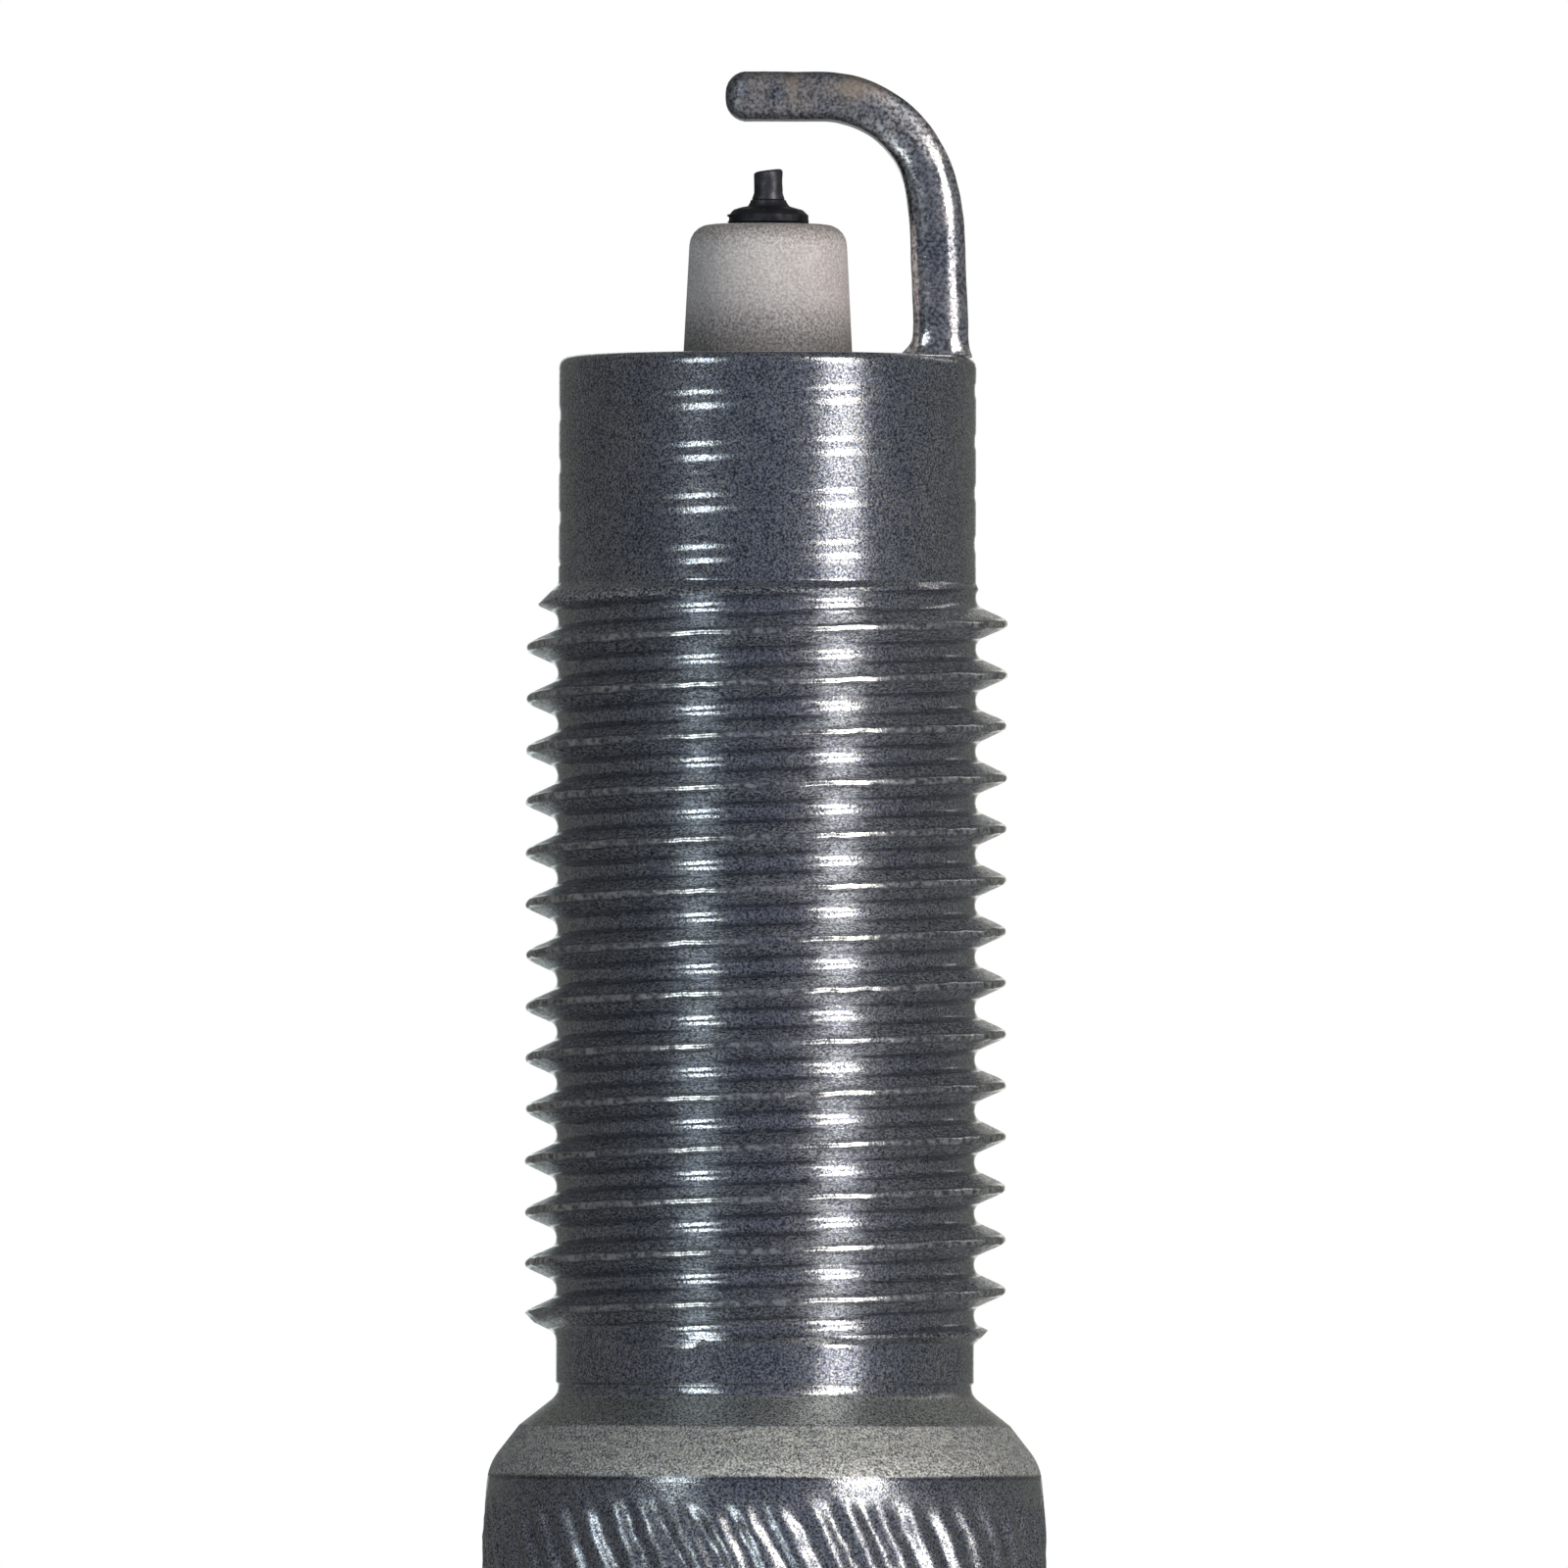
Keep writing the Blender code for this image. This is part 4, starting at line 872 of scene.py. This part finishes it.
insulator = lathe("insulator_body", rounded(ceramic_outline, 5), 128)
place_in_mesh(insulator)
smooth(insulator, 40)

ceramic, shader, place = new_finish("insulator_ceramic")
radius, height = axis_values(ceramic, place)
grain = noise_at(ceramic, place, 0.06, 1.5, 0.6)
mottle = noise_at(ceramic, place, 1.3, 4.0, 0.55)
body_white = ramp(ceramic, mottle, [(0.35, (0.665, 0.615, 0.617)), (0.65, (0.715, 0.66, 0.648))])
# Painted shade: the nose darkens towards its foot, where the shell's mouth shades it.
foot_painted_shade = between(ceramic, height, 25.0, 27.15, 0.85)
# Painted shade: the nose also darkens over its rounded tip, where the light falls off.
tip_painted_shade = between(ceramic, height, 29.35, 30.4, 0.35)
foot_painted_shade = calculate(ceramic, "MULTIPLY", foot_painted_shade, 0.72)
tip_painted_shade = calculate(ceramic, "MULTIPLY", tip_painted_shade, 0.80)
body_white = blend_colours(ceramic, foot_painted_shade, body_white, (0.11, 0.10, 0.092))
body_white = blend_colours(ceramic, tip_painted_shade, body_white, (0.38, 0.34, 0.32))
speckle = ramp(ceramic, grain, [(0.35, 0.22), (0.65, 0.72)])
body_white = blend_colours(ceramic, 0.9, body_white, speckle, "OVERLAY")
glazed_zone = between(ceramic, height, -60.0, -19.0, 0.2)
glaze = ramp(ceramic, mottle, [(0.3, (0.84, 0.82, 0.79)), (0.7, (0.88, 0.86, 0.83))])
colour = blend_colours(ceramic, glazed_zone, body_white, glaze)
ceramic.node_tree.links.new(colour, shader.inputs["Base Color"])
matt = ramp(ceramic, mottle, [(0.3, 0.62), (0.7, 0.72)])
shine = ramp(ceramic, mottle, [(0.3, 0.10), (0.7, 0.16)])
gloss = blend_colours(ceramic, glazed_zone, matt, shine)
ceramic.node_tree.links.new(gloss, shader.inputs["Roughness"])
matt_grain = calculate(ceramic, "MULTIPLY", grain, calculate(ceramic, "SUBTRACT", 1.0, glazed_zone))
relief = add_bump(ceramic, shader, matt_grain, 0.006, 0.6)
add_bump(ceramic, shader, mottle, 0.01, 0.25, relief)
insulator.data.materials.append(ceramic)
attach(insulator, "plug")
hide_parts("insulator")

# ---------------------------------------------------------------------------------------------------
# Terminal stud. Nickel-plated steel with a grooved tip set in the upper glass seal, a plain shank, and
# a rolled M4 thread that the terminal nut covers.
# ---------------------------------------------------------------------------------------------------
stud_low, stud_high = [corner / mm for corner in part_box("terminal_stud")]
stud_pitch = 0.7
stud_root, stud_crest = 1.55, 1.945
stud_turn = thread_outline(stud_pitch, stud_root, stud_crest, 0.10, 0.04)
stud_thread = winding("stud_thread", stud_turn, stud_pitch, first_turn=-70, turns=13, steps=small_turn_steps)
chamfer_thread(stud_thread, stud_pitch, stud_root, stud_low.z + 0.35, rear_z - 0.55, ragged=0.0)
stud_thread_low, stud_thread_high = stud_low.z + 0.32, rear_z - 0.22
cut_square(stud_thread, stud_thread_low, keep_above=True)
cut_square(stud_thread, stud_thread_high, keep_above=False)
shank_start, stud_end_top = rear_z - 0.20, stud_low.z + 0.28
shank_radius, shank_end, tip_radius, tip_groove, grooves = 1.70, -19.663, 1.60, 1.40, 4
tip_outline = [
    (stud_root, shank_start, 0), (shank_radius, rear_z - 0.02, 0.05), (shank_radius, shank_end, 0.1),
    (tip_radius, shank_end - 0.03, 0.02),
]
groove_pitch = (stud_high.z - shank_end) / (grooves + 1)
for groove in range(grooves, 0, -1):
    middle = stud_high.z - groove * groove_pitch
    tip_outline += [
        (tip_radius, middle - groove_pitch / 4, 0.05), (tip_groove, middle, 0.1),
        (tip_radius, middle + groove_pitch / 4, 0.05),
    ]
tip_outline += [(tip_radius, stud_high.z - 0.3, 0.08), (1.30, stud_high.z, 0.08), (0, stud_high.z, 0)]
stud = lathe("stud", rounded(tip_outline, 3), small_turn_steps)
end_outline = [(0, stud_low.z, 0), (1.25, stud_low.z, 0.08), (stud_root, stud_end_top, 0)]
stud_end = lathe("stud_end", rounded(end_outline, 3), small_turn_steps)
join(stud, stud_thread, stud_end)
bridge_rings(stud, stud_end_top, stud_thread_low)
bridge_rings(stud, stud_thread_high, shank_start)
place_in_mesh(stud)
face_outwards(stud)
smooth(stud, 40)


def bright_metal(name, dark, light, mark_size, patch_size, smoothest, roughest, turned=True):
    """Plated or bare metal with fine turning marks, mottling and a little handling wear."""
    finish, shader, place = new_finish(name)
    grain = noise_at(finish, place, 0.06, 2.0, 0.6)
    marks = noise_at(finish, place, mark_size, 3.0, 0.6, (8.0, 8.0, 0.12) if turned else (1.0, 1.0, 1.0))
    patches = noise_at(finish, place, patch_size, 4.0, 0.6)
    colour = ramp(finish, patches, [(0.3, dark), (0.7, light)])
    speckle = ramp(finish, grain, [(0.3, 0.35), (0.7, 0.65)])
    colour = blend_colours(finish, 0.25, colour, speckle, "OVERLAY")
    finish.node_tree.links.new(colour, shader.inputs["Base Color"])
    shader.inputs["Metallic"].default_value = 1.0
    gloss = ramp(finish, patches, [(0.3, smoothest), (0.7, roughest)])
    finish.node_tree.links.new(gloss, shader.inputs["Roughness"])
    relief = add_bump(finish, shader, grain, 0.004, 0.4)
    add_bump(finish, shader, marks, 0.008, 0.4, relief)
    return finish


stud_steel = bright_metal("stud_steel", (0.44, 0.44, 0.46), (0.58, 0.57, 0.56), 0.5, 0.8, 0.22, 0.36)
stud.data.materials.append(stud_steel)
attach(stud, "plug")
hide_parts("terminal_stud")

# ---------------------------------------------------------------------------------------------------
# Terminal nut. Turned from plated steel bar, with a waist that the ignition lead's clip snaps into. It
# unscrews from the stud, for leads that take the bare thread.
# ---------------------------------------------------------------------------------------------------
nut_low, nut_high = [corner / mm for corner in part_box("terminal_nut")]
base_z, end_z = nut_high.z, nut_low.z
nut_flange, flange_end = nut_high.x, base_z - 1.8
nut_bore, nut_bore_end = 2.07, end_z + 1.5
nut_radius, waist_radius = 3.175, 2.75
nut_outline = [
    (0, nut_bore_end, 0), (nut_bore, nut_bore_end, 0.15), (nut_bore, base_z - 0.25, 0.05),
    (2.30, base_z, 0.03), (nut_flange, base_z, 0.28), (nut_flange, flange_end, 0.28),
    (nut_radius, flange_end, 0.08), (nut_radius, base_z - 2.6, 0.15), (waist_radius, base_z - 3.025, 0.25),
    (waist_radius, base_z - 4.475, 0.25), (nut_radius, base_z - 4.9, 0.15), (nut_radius, end_z, 0.9),
    (0, end_z, 0),
]
nut = lathe("nut", rounded(nut_outline, 6), 112)
place_in_mesh(nut)
smooth(nut, 35)
nut_steel = bright_metal("nut_plated_steel", (0.56, 0.56, 0.57), (0.68, 0.67, 0.66), 0.45, 1.1, 0.18, 0.30)
nut.data.materials.append(nut_steel)
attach(nut, "nut")
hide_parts("terminal_nut")

# ---------------------------------------------------------------------------------------------------
# Inside. The copper core, glass seals and resistor are fired together in the insulator's bore, and the
# washer, wire rings and pressed talc seal the insulator in the shell. Their solids have the right shape.
# ---------------------------------------------------------------------------------------------------


def pressed_mix(name, colours, size, roughness, depth):
    """Glass, carbon mix or powder, with grains of several colours."""
    finish, shader, place = new_finish(name)
    speck = noise_at(finish, place, size, 5.0, 0.7)
    cloud = noise_at(finish, place, size * 9, 3.0, 0.5)
    colour = ramp(finish, speck, [(0.35, colours[0]), (0.5, colours[1]), (0.68, colours[2])])
    clouding = ramp(finish, cloud, [(0.3, 0.35), (0.7, 0.65)])
    colour = blend_colours(finish, 0.3, colour, clouding, "OVERLAY")
    finish.node_tree.links.new(colour, shader.inputs["Base Color"])
    gloss = ramp(finish, speck, [(0.3, roughness[0]), (0.7, roughness[1])])
    finish.node_tree.links.new(gloss, shader.inputs["Roughness"])
    add_bump(finish, shader, speck, depth, 0.5)
    return finish


copper = bright_metal("electrode_copper", (0.70, 0.30, 0.18), (0.82, 0.42, 0.28), 0.4, 0.9, 0.26, 0.40)
glass_colours = ((0.10, 0.06, 0.04), (0.26, 0.13, 0.07), (0.50, 0.27, 0.15))
carbon_colours = ((0.02, 0.02, 0.02), (0.07, 0.07, 0.07), (0.22, 0.21, 0.20))
talc_colours = ((0.70, 0.68, 0.63), (0.82, 0.80, 0.76), (0.90, 0.88, 0.85))
seal_glass = pressed_mix("seal_glass", glass_colours, 0.10, (0.16, 0.34), 0.012)
resistor_mix = pressed_mix("resistor_mix", carbon_colours, 0.08, (0.5, 0.7), 0.010)
talc = pressed_mix("talc_powder", talc_colours, 0.05, (0.85, 0.95), 0.015)
packing = bright_metal("packing_steel", (0.36, 0.36, 0.37), (0.48, 0.47, 0.46), 0.3, 0.5, 0.30, 0.44, False)
inner_finishes = {
    "centre_electrode_core": copper, "lower_glass_seal": seal_glass, "resistor": resistor_mix,
    "upper_glass_seal": seal_glass, "seat_packing_washer": packing, "lower_packing_ring": packing,
    "talc_ring": talc, "upper_packing_ring": packing,
}
for node_name, finish in inner_finishes.items():
    node = frame["nodes"][node_name]
    for material_slot in node.material_slots:
        material_slot.material = finish
